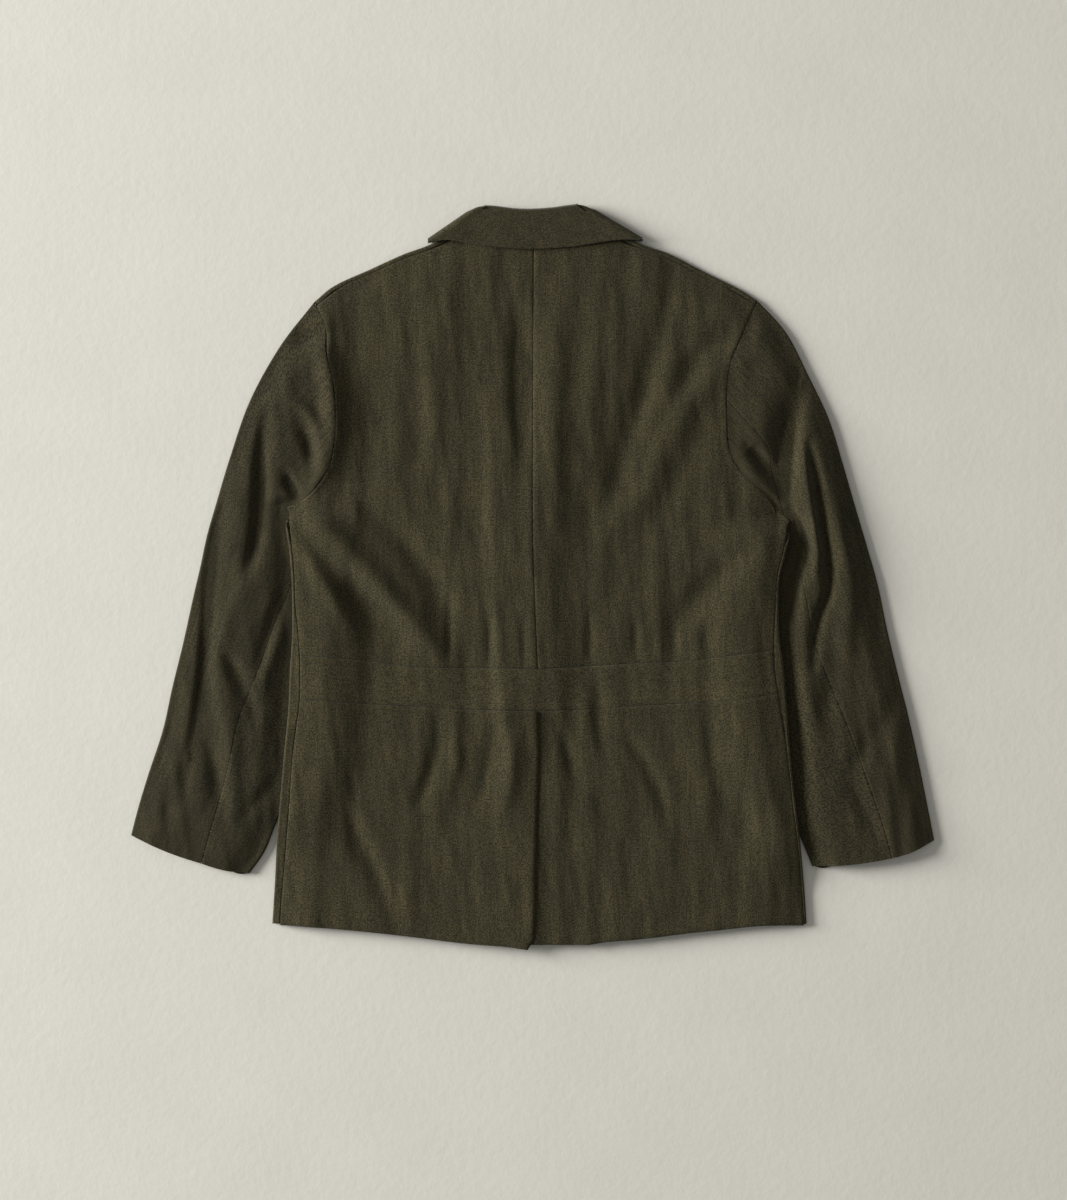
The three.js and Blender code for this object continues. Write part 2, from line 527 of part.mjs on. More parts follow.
// A back skirt: from the band to the hem. The left one laps over the right one at the vent.
function skirt(side) {
  const sign = signOf[side];
  const headY = (x) => bandBottomAt(x) - HALF_GAP;
  const hemY = (x) => (side === 'left' ? hemAt(x) : Math.max(hemAt(x), RIGHT_VENT_HEM));
  const outerX = (y) => sideSeam[side](y) - sign * (HALF_GAP + CURVE_GAP);
  const innerX = side === 'left' ? ventXAt : (y) => ventXAt(y) - VENT_UNDERLAP;
  const overlapStart = (y) => ventXAt(y) - VENT_UNDERLAP - VENT_EASE;
  const overLap = (x, y) => VENT_LIFT * (1 - smooth((overlapStart(y) - x) / VENT_RAMP));
  const lift = side === 'left' ? overLap : () => 0;
  const outer = alongY(outerX, hemY(outerX(-380)), headY(outerX(-130)));
  const inner = alongY(innerX, hemY(innerX(-400)), headY(innerX(-150)));
  const between = (yAt, t, end) => {
    const x = mix(outer(end)[0], inner(end)[0], t);
    return [x, yAt(x)];
  };
  const surface = patch((t) => between(hemY, t, 0), (t) => between(headY, t, 1), outer, inner,
    (x, y) => bodyTop(x, y) + lift(x, y));
  add(`skirt_${side}`, wall(surface, BACK_COLUMNS, range(12), CLOTH, -sign), WOOL);
}

// A front: it lies under the back, turns up round the side edge as far as the side seam, and over
// the shoulder as far as the shoulder seam. The left front laps over the right one.
function front(side) {
  const sign = signOf[side];
  const lap = side === 'left' ? FRONT_LAP : -FRONT_LAP;
  const foldColumns = 0.3;
  const foldRows = 0.22;
  const armpit = ARMHOLE[side][ARMHOLE[side].length - 1];
  const hemY = (x) => Math.max(hemAt(x), RIGHT_VENT_HEM) + HEM_EASE;
  const base = (x, y) => frontBase(x, y) + (side === 'right' ? lapLift(x, y) : 0);
  const hole = shifted(stretch(armhole[side], shoulderLine[side](1), armholePath[side].at(-2)),
    -sign * HIDDEN_GAP);
  const edgeX = (y) => bodyEdge[side](y) - sign * EDGE_RADIUS;
  const startY = hemY(edgeX(-380));
  const sideHeights = [startY, -340, -290, -240, -190, -145, -100, -65, -35, 0, 30, armpit.y - 12];
  const shoulderFold = shifted(shoulderLine[side], -sign * EDGE_RADIUS);
  const outer = curveThrough([
    ...sideHeights.map((y) => ({ x: edgeX(y), y })),
    ...[0.98, 0.84, 0.7, 0.55, 0.4, 0.25, 0.1].map((t) => toXY(hole(t))),
    toXY(shoulderFold(SHOULDER_END)),
  ]);
  const centre = curveThrough([
    { x: lap, y: hemY(lap) }, { x: lap, y: -200 }, { x: lap, y: 0 }, { x: lap, y: NECK_DROP_Y - 50 },
    { x: mix(lap, sign * 40, 0.4), y: NECK_DROP_Y + 20 }, { x: sign * 42, y: 292 },
    toXY(shoulderFold(0)),
  ]);
  const foot = (t) => { const x = mix(lap, outer(0)[0], t); return [x, hemY(x)]; };
  const head = (t) => shoulderFold(SHOULDER_END * t);
  const flat = patch(foot, head, centre, outer, base);
  const sideFold = Math.PI * EDGE_RADIUS;

  // Carries a point of the flat part outwards, and up round the edge where the fold is long enough.
  const overEdge = (start, outward, length, radius) => {
    const bottom = base(start.x, start.y);
    if (length < Math.PI * radius) {
      const angle = length / radius;
      const reach = radius * Math.sin(angle);
      const rise = (bodyTop(start.x, start.y) - bottom) / 2;
      return new THREE.Vector3(start.x + outward.x * reach, start.y + outward.y * reach,
        bottom + rise * (1 - Math.cos(angle)));
    }
    const back = length - Math.PI * radius;
    const x = start.x - outward.x * back;
    const y = start.y - outward.y * back;
    return new THREE.Vector3(x, y, bodyTop(x, y));
  };
  const surface = (u, v) => {
    const s = Math.min(1, u / (1 - foldColumns));
    const t = Math.min(1, v / (1 - foldRows));
    const start = flat(s, t);
    start.z = base(start.x, start.y);
    if (v > 1 - foldRows) {
      const full = sideFold + SHOULDER_SEAM - HALF_GAP - EDGE_RADIUS;
      const length = ((v - 1 + foldRows) / foldRows) * full;
      const [ax, ay] = shoulderLine[side](Math.max(0, SHOULDER_END * s - 0.02));
      const [bx, by] = shoulderLine[side](Math.min(1, SHOULDER_END * s + 0.02));
      const size = Math.hypot(bx - ax, by - ay);
      const outward = { x: (-sign * (by - ay)) / size, y: (sign * (bx - ax)) / size };
      return overEdge(start, outward, length, EDGE_RADIUS);
    }
    if (u > 1 - foldColumns) {
      const share = (u - 1 + foldColumns) / foldColumns;
      const seamInside = Math.abs(bodyEdge[side](start.y) - sideSeam[side](start.y)) - HALF_GAP;
      const full = sideFold + Math.max(0.2, seamInside - EDGE_RADIUS);
      const below = smooth((armpit.y - 8 - start.y) / 18);
      return overEdge(start, { x: sign, y: 0 }, share * mix(0.8, full, below), EDGE_RADIUS);
    }
    return start;
  };
  const columns = [
    ...FRONT_COLUMNS.map((t) => t * (1 - foldColumns)),
    ...onward(6, 1 - foldColumns, foldColumns),
  ];
  const rows = [
    ...FRONT_ROWS.map((t) => t * (1 - foldRows)),
    ...onward(5, 1 - foldRows, foldRows),
  ];
  add(`front_${side}`, wall(surface, columns, rows, CLOTH, sign < 0 ? 1 : -1), WOOL);
}

// A line of a sleeve's section table as a curve along the sleeve, row by row.
function lineOf(rows, name) {
  const points = rows.map((row) => new THREE.Vector3(row[name][0], row[name][1], 0));
  const curve = new THREE.CatmullRomCurve3(points);
  return (t) => { const p = curve.getPoint(clamp01(t)); return [p.x, p.y]; };
}

// One half of a flattened sleeve: on top from the elbow seam to the fold, round the fold, and back
// under it as far as the forearm seam. The fold is the outer one or the inner one.
function sleeveHalf(name, rows, foldName, firstRow, bowAt, flip, columns) {
  const sections = rows.length - 1;
  const line = (key) => {
    const curve = lineOf(rows, key);
    return (v) => curve(mix(firstRow / sections, 1, v));
  };
  const seam = line('seam');
  const fold = line(foldName);
  const fore = line('fore');
  const onTop = 0.46;
  const inFold = 0.16;
  const surface = (u, v) => {
    const [b, o, f] = [seam(v), fold(v), fore(v)];
    const span = Math.hypot(o[0] - b[0], o[1] - b[1]);
    const out = [(o[0] - b[0]) / span, (o[1] - b[1]) / span];
    const radius = Math.min(EDGE_RADIUS, span * 0.4);
    const turn = [o[0] - out[0] * radius, o[1] - out[1] * radius];
    const topHeight = sleeveTop(turn[0], turn[1]);
    if (u <= onTop) {
      const s = mix(HALF_GAP / span, 1, u / onTop);
      const [bx, by] = bowAt(s, v);
      const x = mix(b[0], turn[0], s) + bx;
      const y = mix(b[1], turn[1], s) + by;
      return new THREE.Vector3(x, y, sleeveTop(x, y));
    }
    if (u < onTop + inFold) {
      const angle = (Math.PI * (u - onTop)) / inFold;
      const reach = radius * Math.sin(angle);
      return new THREE.Vector3(turn[0] + out[0] * reach, turn[1] + out[1] * reach,
        (topHeight * (1 + Math.cos(angle))) / 2);
    }
    const s = mix(1, HALF_GAP / span, (u - onTop - inFold) / (1 - onTop - inFold));
    const [bx, by] = bowAt(s, v);
    return new THREE.Vector3(mix(f[0], turn[0], s) + bx, mix(f[1], turn[1], s) + by, 0);
  };
  const fan = [
    ...range(columns).map((t) => t * onTop),
    ...onward(5, onTop, inFold),
    ...onward(Math.round(columns * 0.6), onTop + inFold, 1 - onTop - inFold),
  ];
  add(name, wall(surface, fan, range(sections - firstRow), CLOTH, flip), WOOL);
}

// How far a row of the sleeve bows from a straight line: at the cuff, and along the armhole at its head.
const cuffBow = (s, v) => -CUFF_BOW * Math.sin(Math.PI * s) * smooth((v - 0.85) / 0.15);
function sleeveBow(side, rows, foldName) {
  const [start, end] = [rows[0].seam, rows[0][foldName]];
  const head = stretch(armhole[side], start, end);
  return (s, v) => {
    const [x, y] = head(s);
    const [ax, ay] = head(0);
    const [bx, by] = head(1);
    const fade = clamp01(1 - v / 0.34) ** 2;
    return [(x - mix(ax, bx, s)) * fade, (y - mix(ay, by, s)) * fade + cuffBow(s, v)];
  };
}

function sleeve(side) {
  const sign = signOf[side];
  const rows = SLEEVE_SECTIONS[side].map((row) => ({ ...row, inner: row.inner ?? row.seam }));
  const firstUnder = SLEEVE_SECTIONS[side].findIndex((row) => row.inner);
  const cuffOnly = (s, v) => [0, cuffBow(s, v)];
  sleeveHalf(`sleeve_${side}_top`, rows, 'outer', 0, sleeveBow(side, rows, 'outer'), -sign, 10);
  sleeveHalf(`sleeve_${side}_under`, rows, 'inner', firstUnder,
    firstUnder ? cuffOnly : sleeveBow(side, rows, 'inner'), sign, 5);
}

// The fall of the collar: over the back from the roll line to its edge, round the two slanting folds,
// and under the fronts to its plain ends. Its roll turns down and hides the stand.
function collarFall() {
  const leaf = curveThrough(COLLAR_EDGE);
  const roll = curveThrough(COLLAR_TOP);
  const radius = COLLAR_TOP_HEIGHT / 2;
  const turnRadius = 3;
  const [underShare, foldShare] = [0.12, 0.08];
  const turnShare = 0.25;
  const cornerBlend = 0.12;
  const corner = (t, s) => {
    const [a, b] = [leaf(s), roll(s)];
    return [mix(a[0], b[0], t), mix(a[1], b[1], t)];
  };
  const normal = [0, 1].map((s) => {
    const [a, b] = [leaf(s), roll(s)];
    const length = Math.hypot(b[0] - a[0], b[1] - a[1]);
    const sign = s === 0 ? -1 : 1;
    return [(sign * (b[1] - a[1])) / length, (-sign * (b[0] - a[0])) / length];
  }).map(([x, y]) => (y < 0 ? [-x, -y] : [x, y]));
  const surface = (u, v) => {
    const side = u < 0.5 ? 0 : 1;
    const w = u < 0.5 ? u : 1 - u;
    const share = v < 1 - turnShare ? v / (1 - turnShare) : 1;
    const angle = v < 1 - turnShare ? 0 : ((v - 1 + turnShare) / turnShare) * (Math.PI / 2);
    const ahead = turnRadius * Math.sin(angle);
    const sunk = turnRadius * (1 - Math.cos(angle));
    const [n, end] = [normal[side], corner(1, side)];
    const start = corner(0, side);
    const length = Math.hypot(end[0] - start[0], end[1] - start[1]);
    const t = (share * (length - turnRadius) + ahead) / length;
    const line = corner(t, side);
    const turn = [line[0] - n[0] * radius, line[1] - n[1] * radius];
    if (w < underShare) {
      const hidden = COLLAR_END[side === 0 ? 'left' : 'right'];
      const s = w / underShare;
      const tip = [mix(hidden.edge[0], hidden.roll[0], t), mix(hidden.edge[1], hidden.roll[1], t)];
      return new THREE.Vector3(mix(tip[0], turn[0], s), mix(tip[1], turn[1], s), sunk);
    }
    if (w < underShare + foldShare) {
      const phi = (Math.PI * (w - underShare)) / foldShare;
      const reach = (radius - sunk) * Math.sin(phi);
      const height = radius - (radius - sunk) * Math.cos(phi);
      return new THREE.Vector3(turn[0] + n[0] * reach, turn[1] + n[1] * reach, height);
    }
    const s = (u - underShare - foldShare) / (1 - 2 * (underShare + foldShare));
    const across = corner(t, s);
    const [left, right] = [1 - smooth(s / cornerBlend), 1 - smooth((1 - s) / cornerBlend)];
    const x = across[0] - (normal[0][0] * left + normal[1][0] * right) * radius;
    const y = across[1] - (normal[0][1] * left + normal[1][1] * right) * radius;
    return new THREE.Vector3(x, y, COLLAR_TOP_HEIGHT - sunk);
  };
  const columns = [
    ...range(2).map((t) => t * underShare),
    ...onward(5, underShare, foldShare),
    ...onward(10, underShare + foldShare, 1 - 2 * (underShare + foldShare)),
    ...onward(5, 1 - underShare - foldShare, foldShare),
    ...onward(2, 1 - underShare, underShare),
  ];
  const rows = [...range(3).map((t) => t * (1 - turnShare)), ...onward(3, 1 - turnShare, turnShare)];
  add('collar_fall', wall(surface, columns, rows, COLLAR_CLOTH, 1), WOOL);
}

// The stand of the collar, between the neck seam and the roll line, under the fall.
function collarStand() {
  const foot = curveThrough(STAND_FOOT);
  const head = curveThrough(STAND_HEAD);
  const straight = (a, b) => (t) => [mix(a[0], b[0], t), mix(a[1], b[1], t)];
  const surface = patch(foot, head, straight(foot(0), head(0)), straight(foot(1), head(1)), bodyTop);
  add('collar_stand', wall(surface, range(12), range(2), CLOTH, 1), WOOL);
}

// The buttons of the front, under the laps, each a disc with a rounded rim.
function buttons() {
  const radius = BUTTON_DIAMETER / 2;
  const rim = 0.9;
  const profile = [[0, 0], [radius - rim, 0], [radius, rim], [radius, BUTTON_HEIGHT - rim],
    [radius - rim, BUTTON_HEIGHT], [0, BUTTON_HEIGHT]].map(([r, z]) => new THREE.Vector2(r, z));
  const sides = 12;
  for (let i = 0; i < BUTTON_COUNT; i += 1) {
    const disc = new THREE.LatheGeometry(profile, sides);
    disc.rotateX(Math.PI / 2);
    disc.translate(0, TOP_BUTTON_Y - i * BUTTON_PITCH, 0);
    add(`button_${i + 1}`, disc, HORN);
  }
}

for (const side of ['left', 'right']) {
  backUpper(side);
  skirt(side);
  front(side);
  sleeve(side);
}
waistBand();
collarFall();
collarStand();
buttons();

export default jacket;
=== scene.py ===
import math

import bpy
import numpy as np
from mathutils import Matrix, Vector


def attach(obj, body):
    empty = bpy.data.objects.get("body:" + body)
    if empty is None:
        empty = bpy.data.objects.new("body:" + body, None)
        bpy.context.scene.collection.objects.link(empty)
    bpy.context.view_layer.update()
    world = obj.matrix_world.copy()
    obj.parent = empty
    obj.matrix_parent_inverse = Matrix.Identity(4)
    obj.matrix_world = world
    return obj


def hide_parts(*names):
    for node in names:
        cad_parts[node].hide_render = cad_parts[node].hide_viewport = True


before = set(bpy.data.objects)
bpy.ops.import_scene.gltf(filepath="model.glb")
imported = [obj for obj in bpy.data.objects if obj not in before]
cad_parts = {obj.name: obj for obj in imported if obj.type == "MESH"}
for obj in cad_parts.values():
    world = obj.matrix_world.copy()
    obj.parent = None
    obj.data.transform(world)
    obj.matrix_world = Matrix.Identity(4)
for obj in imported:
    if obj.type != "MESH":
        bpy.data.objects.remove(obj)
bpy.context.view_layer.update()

# The cloth of the whole jacket: a heavy wool and linen twill, spun from brown, black and grey-green
# fibre, so that it is olive-brown from afar. Thicker yarns make fine streaks along the grain, and
# the nap takes the shine off it. Each piece carries its own grain direction.
YARN_DARK = (0.0105, 0.0090, 0.0036, 1)
YARN_BROWN = (0.068, 0.051, 0.024, 1)
YARN_GREEN = (0.058, 0.051, 0.0235, 1)
YARN_LIGHT = (0.150, 0.130, 0.075, 1)
# The marks of the yarn, in metres across the grain and along it.
FLECK_SIZE = (0.0013, 0.0017, 1)
TUFT_SIZE = (0.0032, 0.0052, 1)
NEP_SIZE = (0.0019, 0.0022, 1)
SHADE_SIZE = (0.030, 0.055, 1)
SLUB_WIDTH = 0.0030
PLY_WIDTH = 0.0075
PLY_LENGTH = 1.7
RIB_SCALE = 320.0
NAP_DEPTH = 0.0005


class Value:
    """A socket of a material. Arithmetic on it adds the Math nodes that work it out."""

    def __init__(self, finish, socket):
        self.finish = finish
        self.socket = socket

    def math(self, operation, a, b):
        return self.finish.node("ShaderNodeMath", {"operation": operation}, {0: a, 1: b})

    def __add__(self, other):
        return self.math("ADD", self, other)

    def __radd__(self, other):
        return self.math("ADD", other, self)

    def __sub__(self, other):
        return self.math("SUBTRACT", self, other)

    def __rsub__(self, other):
        return self.math("SUBTRACT", other, self)

    def __mul__(self, other):
        return self.math("MULTIPLY", self, other)

    def __rmul__(self, other):
        return self.math("MULTIPLY", other, self)


class Finish:
    """A procedural material, built node by node."""

    def __init__(self, name):
        self.material = bpy.data.materials.new(name)
        self.material.use_nodes = True
        self.material.node_tree.nodes.clear()

    def node(self, kind, settings, inputs, output=0):
        made = self.material.node_tree.nodes.new(kind)
        for key, value in settings.items():
            setattr(made, key, value)
        for key, value in inputs.items():
            if isinstance(value, Value):
                self.material.node_tree.links.new(value.socket, made.inputs[key])
            else:
                made.inputs[key].default_value = value
        return Value(self, made.outputs[output]) if made.outputs else None

    def noise(self, place, size, detail=2.0):
        """Noise whose grains have this size, in metres along each axis."""
        scaled = self.node("ShaderNodeVectorMath", {"operation": "MULTIPLY"},
                           {0: place, 1: tuple(1.0 / s for s in size)})
        return self.node("ShaderNodeTexNoise", {"noise_dimensions": "3D"},
                         {"Vector": scaled, "Scale": 1.0, "Detail": detail, "Roughness": 0.6})

    def spread(self, value, low, high):
        """Stretches the part of a value between two levels over 0 to 1."""
        return self.node("ShaderNodeMapRange", {"interpolation_type": "SMOOTHSTEP"},
                         {"Value": value, "From Min": low, "From Max": high})

    def blend(self, factor, a, b, kind="MIX"):
        return self.node("ShaderNodeMix", {"data_type": "RGBA", "blend_type": kind},
                         {0: factor, 6: a, 7: b}, 2)

    def surface(self, colour, roughness, normal, sheen):
        shader = self.node("ShaderNodeBsdfPrincipled", {},
                           {"Base Color": colour, "Roughness": roughness, "Normal": normal,
                            "Sheen Weight": sheen, "Sheen Roughness": 0.5,
                            "Specular IOR Level": 0.12})
        self.node("ShaderNodeOutputMaterial", {}, {"Surface": shader})
        return self.material


def twill(name, slub_length, tone_and_painted_shade):
    """The twill: flecks of the mixed yarn, slubs along the grain and the diagonal rib of the weave."""
    cloth = Finish(name)
    grain = cloth.node("ShaderNodeUVMap", {"uv_map": "grain"}, {})
    fleck = cloth.noise(grain, FLECK_SIZE)
    tuft = cloth.noise(grain, TUFT_SIZE)
    slub = cloth.noise(grain, (SLUB_WIDTH, slub_length, 1))
    ply = cloth.noise(grain, (PLY_WIDTH, slub_length * PLY_LENGTH, 1))
    shade = cloth.noise(grain, SHADE_SIZE)
    lightness = cloth.spread(fleck * 0.68 + tuft * 0.12 + slub * 0.13 + ply * 0.07, 0.39, 0.61)
    green = cloth.blend(lightness, YARN_DARK, YARN_GREEN)
    brown = cloth.blend(lightness, YARN_DARK, YARN_BROWN)
    brown_share = cloth.spread(slub * 0.4 + tuft * 0.35 + shade * 0.25, 0.44, 0.60) * 0.6
    nep = cloth.spread(cloth.noise(grain, NEP_SIZE, 0.0), 0.77, 0.84)
    colour = cloth.blend(nep * 0.35, cloth.blend(brown_share, green, brown), YARN_LIGHT)
    # A factor per piece scales the whole colour. For the sleeves it darkens them, which is painted shade.
    level = (cloth.spread(shade, 0.2, 0.8) * 0.22 + 0.89) * tone_and_painted_shade
    grey = cloth.node("ShaderNodeCombineColor", {}, {0: level, 1: level, 2: level})
    colour = cloth.blend(1.0, colour, grey, "MULTIPLY")
    rib = cloth.node("ShaderNodeTexWave", {"wave_type": "BANDS", "bands_direction": "DIAGONAL"},
                     {"Vector": grain, "Scale": RIB_SCALE, "Distortion": 1.2, "Detail": 1.0})
    height = fleck * 0.55 + slub * 0.45 + rib * 0.25
    normal = cloth.node("ShaderNodeBump", {}, {"Strength": 0.55, "Distance": NAP_DEPTH, "Height": height})
    return cloth.surface(colour, 0.94, normal, 0.18)


BODY_SLUB = 0.026
body_twill = twill("twill", BODY_SLUB, 1.0)

# The two fronts, the lowest pieces. Each is cut in one with no dart, turns up round the side as far
# as the side seam and over the shoulder to the shoulder seam, and its cloth is turned in at the
# centre front, where the left one laps over the right one.
MM = 0.001
CLOTH = 1.6
REST_GAP = 0.5
LAYER_GAP = 1.3
EDGE_HEIGHT = 4.8
EDGE_RADIUS = EDGE_HEIGHT / 2
BODY_FILL = 1.8
SLACK = 3.6
SLACK_REACH = 45
SLACK_TOP = 362
SLACK_TOP_RAMP = 150
EDGE_REACH = 30
CREASE_MARGIN = 9
# The sleeves lift the sides of the body where they lie under them.
SLEEVE_LIFT = {-1: 7.0, 1: 8.6}
SLEEVE_REACH = 12
SLEEVE_RAMP = 60
SLEEVE_ENTRY = {-1: 82, 1: 70}
SLEEVE_ENTRY_RAMP = 30
SLEEVE_EXIT = {-1: -264, 1: -286}
SLEEVE_EXIT_RAMP = 66
INNER_EDGE_TOP = 61
INNER_EDGE_MARGIN = 24
# So do the buttons and the collar's ends, and one front lifts the other at the lap.
BUTTON_LIFT = 3.3
BUTTON_STRIP = (-170, 200)
BUTTON_STRIP_FADE = 50
BUTTON_STRIP_HALF = 16
BUTTON_RAMP = 45
COLLAR_CLOTH = 2.4
COLLAR_END_FOOT = 196
COLLAR_END_RISE = 96
COLLAR_END_HALF = 112
COLLAR_END_RAMP = 80
FRONT_LAP = 18
LAP_LIFT = 2.3
LAP_RAMP = 26
LAP_TOP_FADE = 60
NECK_DROP_Y = 190
LAP_TOP = NECK_DROP_Y + 95
SHOULDER_SEAM = 5
HOLE_INSET = 3.2
HEM_INSET = 1.5
NECK_HALF = 42
NECK_FOOT = 292

# Sections across the body: y, the left edge, the left side seam, the right side seam, the right edge.
BODY_SECTIONS = [
    (160, -330, -327, 332, 335),
    (110, -286, -283, 300, 303),
    (76, -271.2, -268.2, 284, 287),
    (60, -270, -267, 280, 283),
    (30, -267.5, -264, 275, 278),
    (0, -265, -261.5, 268, 271),
    (-35, -264, -260.4, 266, 269.3),
    (-65, -264.2, -256.8, 264.4, 270.3),
    (-100, -266.5, -255.2, 265, 274.8),
    (-135, -267.7, -255.8, 270.3, 278),
    (-165, -270, -259.6, 275, 279.6),
    (-200, -273.8, -264, 279.6, 282.8),
    (-250, -277.8, -267.3, 285, 288),
    (-300, -282, -271.5, 291.2, 294.2),
    (-350, -284.5, -276, 295.9, 298.9),
    (-420, -289, -280, 300, 303),
]
# Lines that cross the body: x, the band's upper seam, its lower seam, the hem.
CROSS_SECTIONS = [
    (-300, -83, -132, -381.5),
    (-255, -85.8, -134.8, -383.6),
    (-190, -91.3, -139, -388.7),
    (-130, -98.4, -142.2, -395.2),
    (-80, -99.8, -145, -401.4),
    (-30, -100.2, -146.6, -405.4),
    (5, -101.2, -147.4, -410),
    (20, -100.4, -147, -411),
    (75, -97.2, -144.4, -401.6),
    (120, -94.5, -141.4, -397.4),
    (172, -92.3, -138.5, -391),
    (206, -88, -137.2, -387.6),
    (250, -82.6, -130.9, -383.2),
    (310, -76, -123, -382.8),
]
RIGHT_VENT_HEM = -403.8
SHOULDER_LINE = {
    -1: [(-74, 384), (-100, 371.5), (-117, 363.5), (-141, 355), (-178, 338.5), (-220, 319),
         (-240.2, 302.5)],
    1: [(74, 386), (100, 374), (121, 365), (149.6, 355), (185, 337), (227.7, 315.7), (247, 303.5)],
}
ARMHOLE = {
    -1: [(-240.2, 302.5), (-228.4, 279), (-227.5, 250), (-219.5, 215), (-216.7, 165), (-219.5, 140),
         (-225.5, 116.6), (-240, 96), (-256, 82.5), (-271.4, 76)],
    1: [(247, 303.5), (237.5, 283), (227.5, 260), (217.5, 237), (213, 205), (214, 160),
        (218.2, 129.8), (230, 114), (256.3, 89.5), (283, 61)],
}
# Sections across the sleeves, shoulder to cuff: the outer fold, the elbow seam or the armhole, the
# inner fold, the forearm seam below.
SLEEVE_SECTIONS = {
    -1: [
        ((-240.2, 302.5), (-225.5, 116.6), None, (-225.5, 116.6)),
        ((-277, 255), (-240, 96), None, (-240, 96)),
        ((-311, 194), (-253, 80), None, (-253, 80)),
        ((-333.5, 130), (-261, 71), None, (-263, 70)),
        ((-347, 85), (-262, 52), None, (-266, 50)),
        ((-358.5, 45), (-260, 24), (-252, 20), (-275, 26)),
        ((-365.5, 12), (-264.5, -6), (-248, -12), (-271, -5)),
        ((-373, -20), (-282.7, -48.4), (-246, -60), (-268, -53)),
        ((-384.4, -72), (-301.4, -101.8), (-245, -118), (-267, -112)),
        ((-396.6, -122), (-322.3, -155.1), (-248, -174), (-270, -168)),
        ((-406.8, -168), (-332.8, -201.3), (-258, -222), (-280, -216)),
        ((-423.5, -219), (-347, -255), (-279.5, -264), (-301, -262)),
        ((-434, -254), (-356, -286), (-295, -302), (-316, -297)),
        ((-441.7, -283.8), (-364.1, -314.6), (-311.3, -325.6), (-332, -323)),
    ],
    1: [
        ((247, 303.5), (213, 195), (218.2, 129.8), (223, 141)),
        ((278, 269), (236, 169), (230, 112), (238, 122)),
        ((302.5, 222), (258, 142), (246, 94), (257, 104)),
        ((325.6, 173), (263, 112), (262, 76), (272, 84)),
        ((340, 127), (273, 78), (268, 58), (280, 62)),
        ((353, 82), (283, 48), (268, 38), (290, 43)),
        ((366, 38), (291.5, 18), (271, 8), (293, 13)),
        ((379, -8), (300.5, -27.5), (261, -40), (283, -35)),
        ((389, -56), (310, -75), (255, -90), (277, -85)),
        ((401, -106), (328, -122), (254, -142), (276, -138)),
        ((413, -154), (348, -171), (259, -192), (281, -188)),
        ((425.4, -210), (366.5, -222), (274, -238), (296, -234)),
        ((435, -258), (382.5, -268), (292, -281), (314, -278)),
        ((441.1, -289.3), (394.4, -308.6), (306.9, -317.9), (328, -317.5)),
    ],
}


def mix(a, b, t):
    """The value between two others."""
    return a + (b - a) * t


def smooth(t):
    """A soft step from 0 to 1."""
    s = np.clip(t, 0, 1)
    return s * s * (3 - 2 * s)


def soft_max(a, b, blend):
    """The larger of two heights, with a soft join."""
    h = np.clip(0.5 + 0.5 * (a - b) / blend, 0, 1)
    return mix(b, a, h) + blend * h * (1 - h) * 0.5


def column(rows, key, value):
    """One column of a table as a smooth function of another."""
    x, y = np.array(sorted((row[key], row[value]) for row in rows), float).T
    after = np.minimum(np.arange(len(x)) + 1, len(x) - 1)
    before = np.maximum(np.arange(len(x)) - 1, 0)
    slope = (y[after] - y[before]) / (x[after] - x[before])

    def read(at):
        at = np.clip(at, x[0], x[-1])
        i = np.clip(np.searchsorted(x, at, side="right") - 1, 0, len(x) - 2)
        span = x[i + 1] - x[i]
        t = (at - x[i]) / span
        start = y[i] * (2 * t**3 - 3 * t**2 + 1) + slope[i] * span * (t**3 - 2 * t**2 + t)
        return start + y[i + 1] * (3 * t**2 - 2 * t**3) + slope[i + 1] * span * (t**3 - t**2)

    return read


def curve(points, by_length=True):
    """A smooth line through points in plan, read from 0 to 1 by its length, or else by its points."""
    p = np.array(points, float)
    p = np.vstack([2 * p[0] - p[1], p, 2 * p[-1] - p[-2]])
    gap = np.maximum(np.linalg.norm(np.diff(p, axis=0), axis=1) ** 0.5, 1e-4)
    s = np.linspace(0, 1, 25)[:-1, None]
    parts = []
    for i in range(1, len(p) - 2):
        a, b, c, d = p[i - 1:i + 3]
        first = ((b - a) / gap[i - 1] - (c - a) / (gap[i - 1] + gap[i]) + (c - b) / gap[i]) * gap[i]
        last = ((c - b) / gap[i] - (d - b) / (gap[i] + gap[i + 1]) + (d - c) / gap[i + 1]) * gap[i]
        square = 3 * (c - b) - 2 * first - last
        cube = 2 * (b - c) + first + last
        parts.append(b + first * s + square * s**2 + cube * s**3)
    line = np.vstack([*parts, p[-2:-1]])
    knots = np.linspace(0, 1, len(line))
    if by_length:
        steps = np.linalg.norm(np.diff(line, axis=0), axis=1)
        knots = np.concatenate([[0], np.cumsum(steps)]) / steps.sum()
    return lambda t: np.stack([np.interp(t, knots, line[:, 0]), np.interp(t, knots, line[:, 1])], -1)


def direction(line, t, step):
    """The direction of a line, taken over a step on each side."""
    along = line(np.minimum(1, t + step)) - line(np.maximum(0, t - step))
    return along / np.linalg.norm(along, axis=-1, keepdims=True)


def shifted(line, distance):
    """A line moved sideways, to its left where the distance is positive."""

    def read(t):
        along = direction(line, np.asarray(t), 0.004)
        return line(t) + distance * np.stack([-along[..., 1], along[..., 0]], -1)

    return read


def stretch(line, start, end):
    """The stretch of a line between the places nearest to two points."""
    places = np.linspace(0, 1, 401)
    a, b = (places[np.argmin(np.linalg.norm(line(places) - np.array(p), axis=1))] for p in (start, end))
    return lambda t: line(mix(a, b, np.asarray(t)))


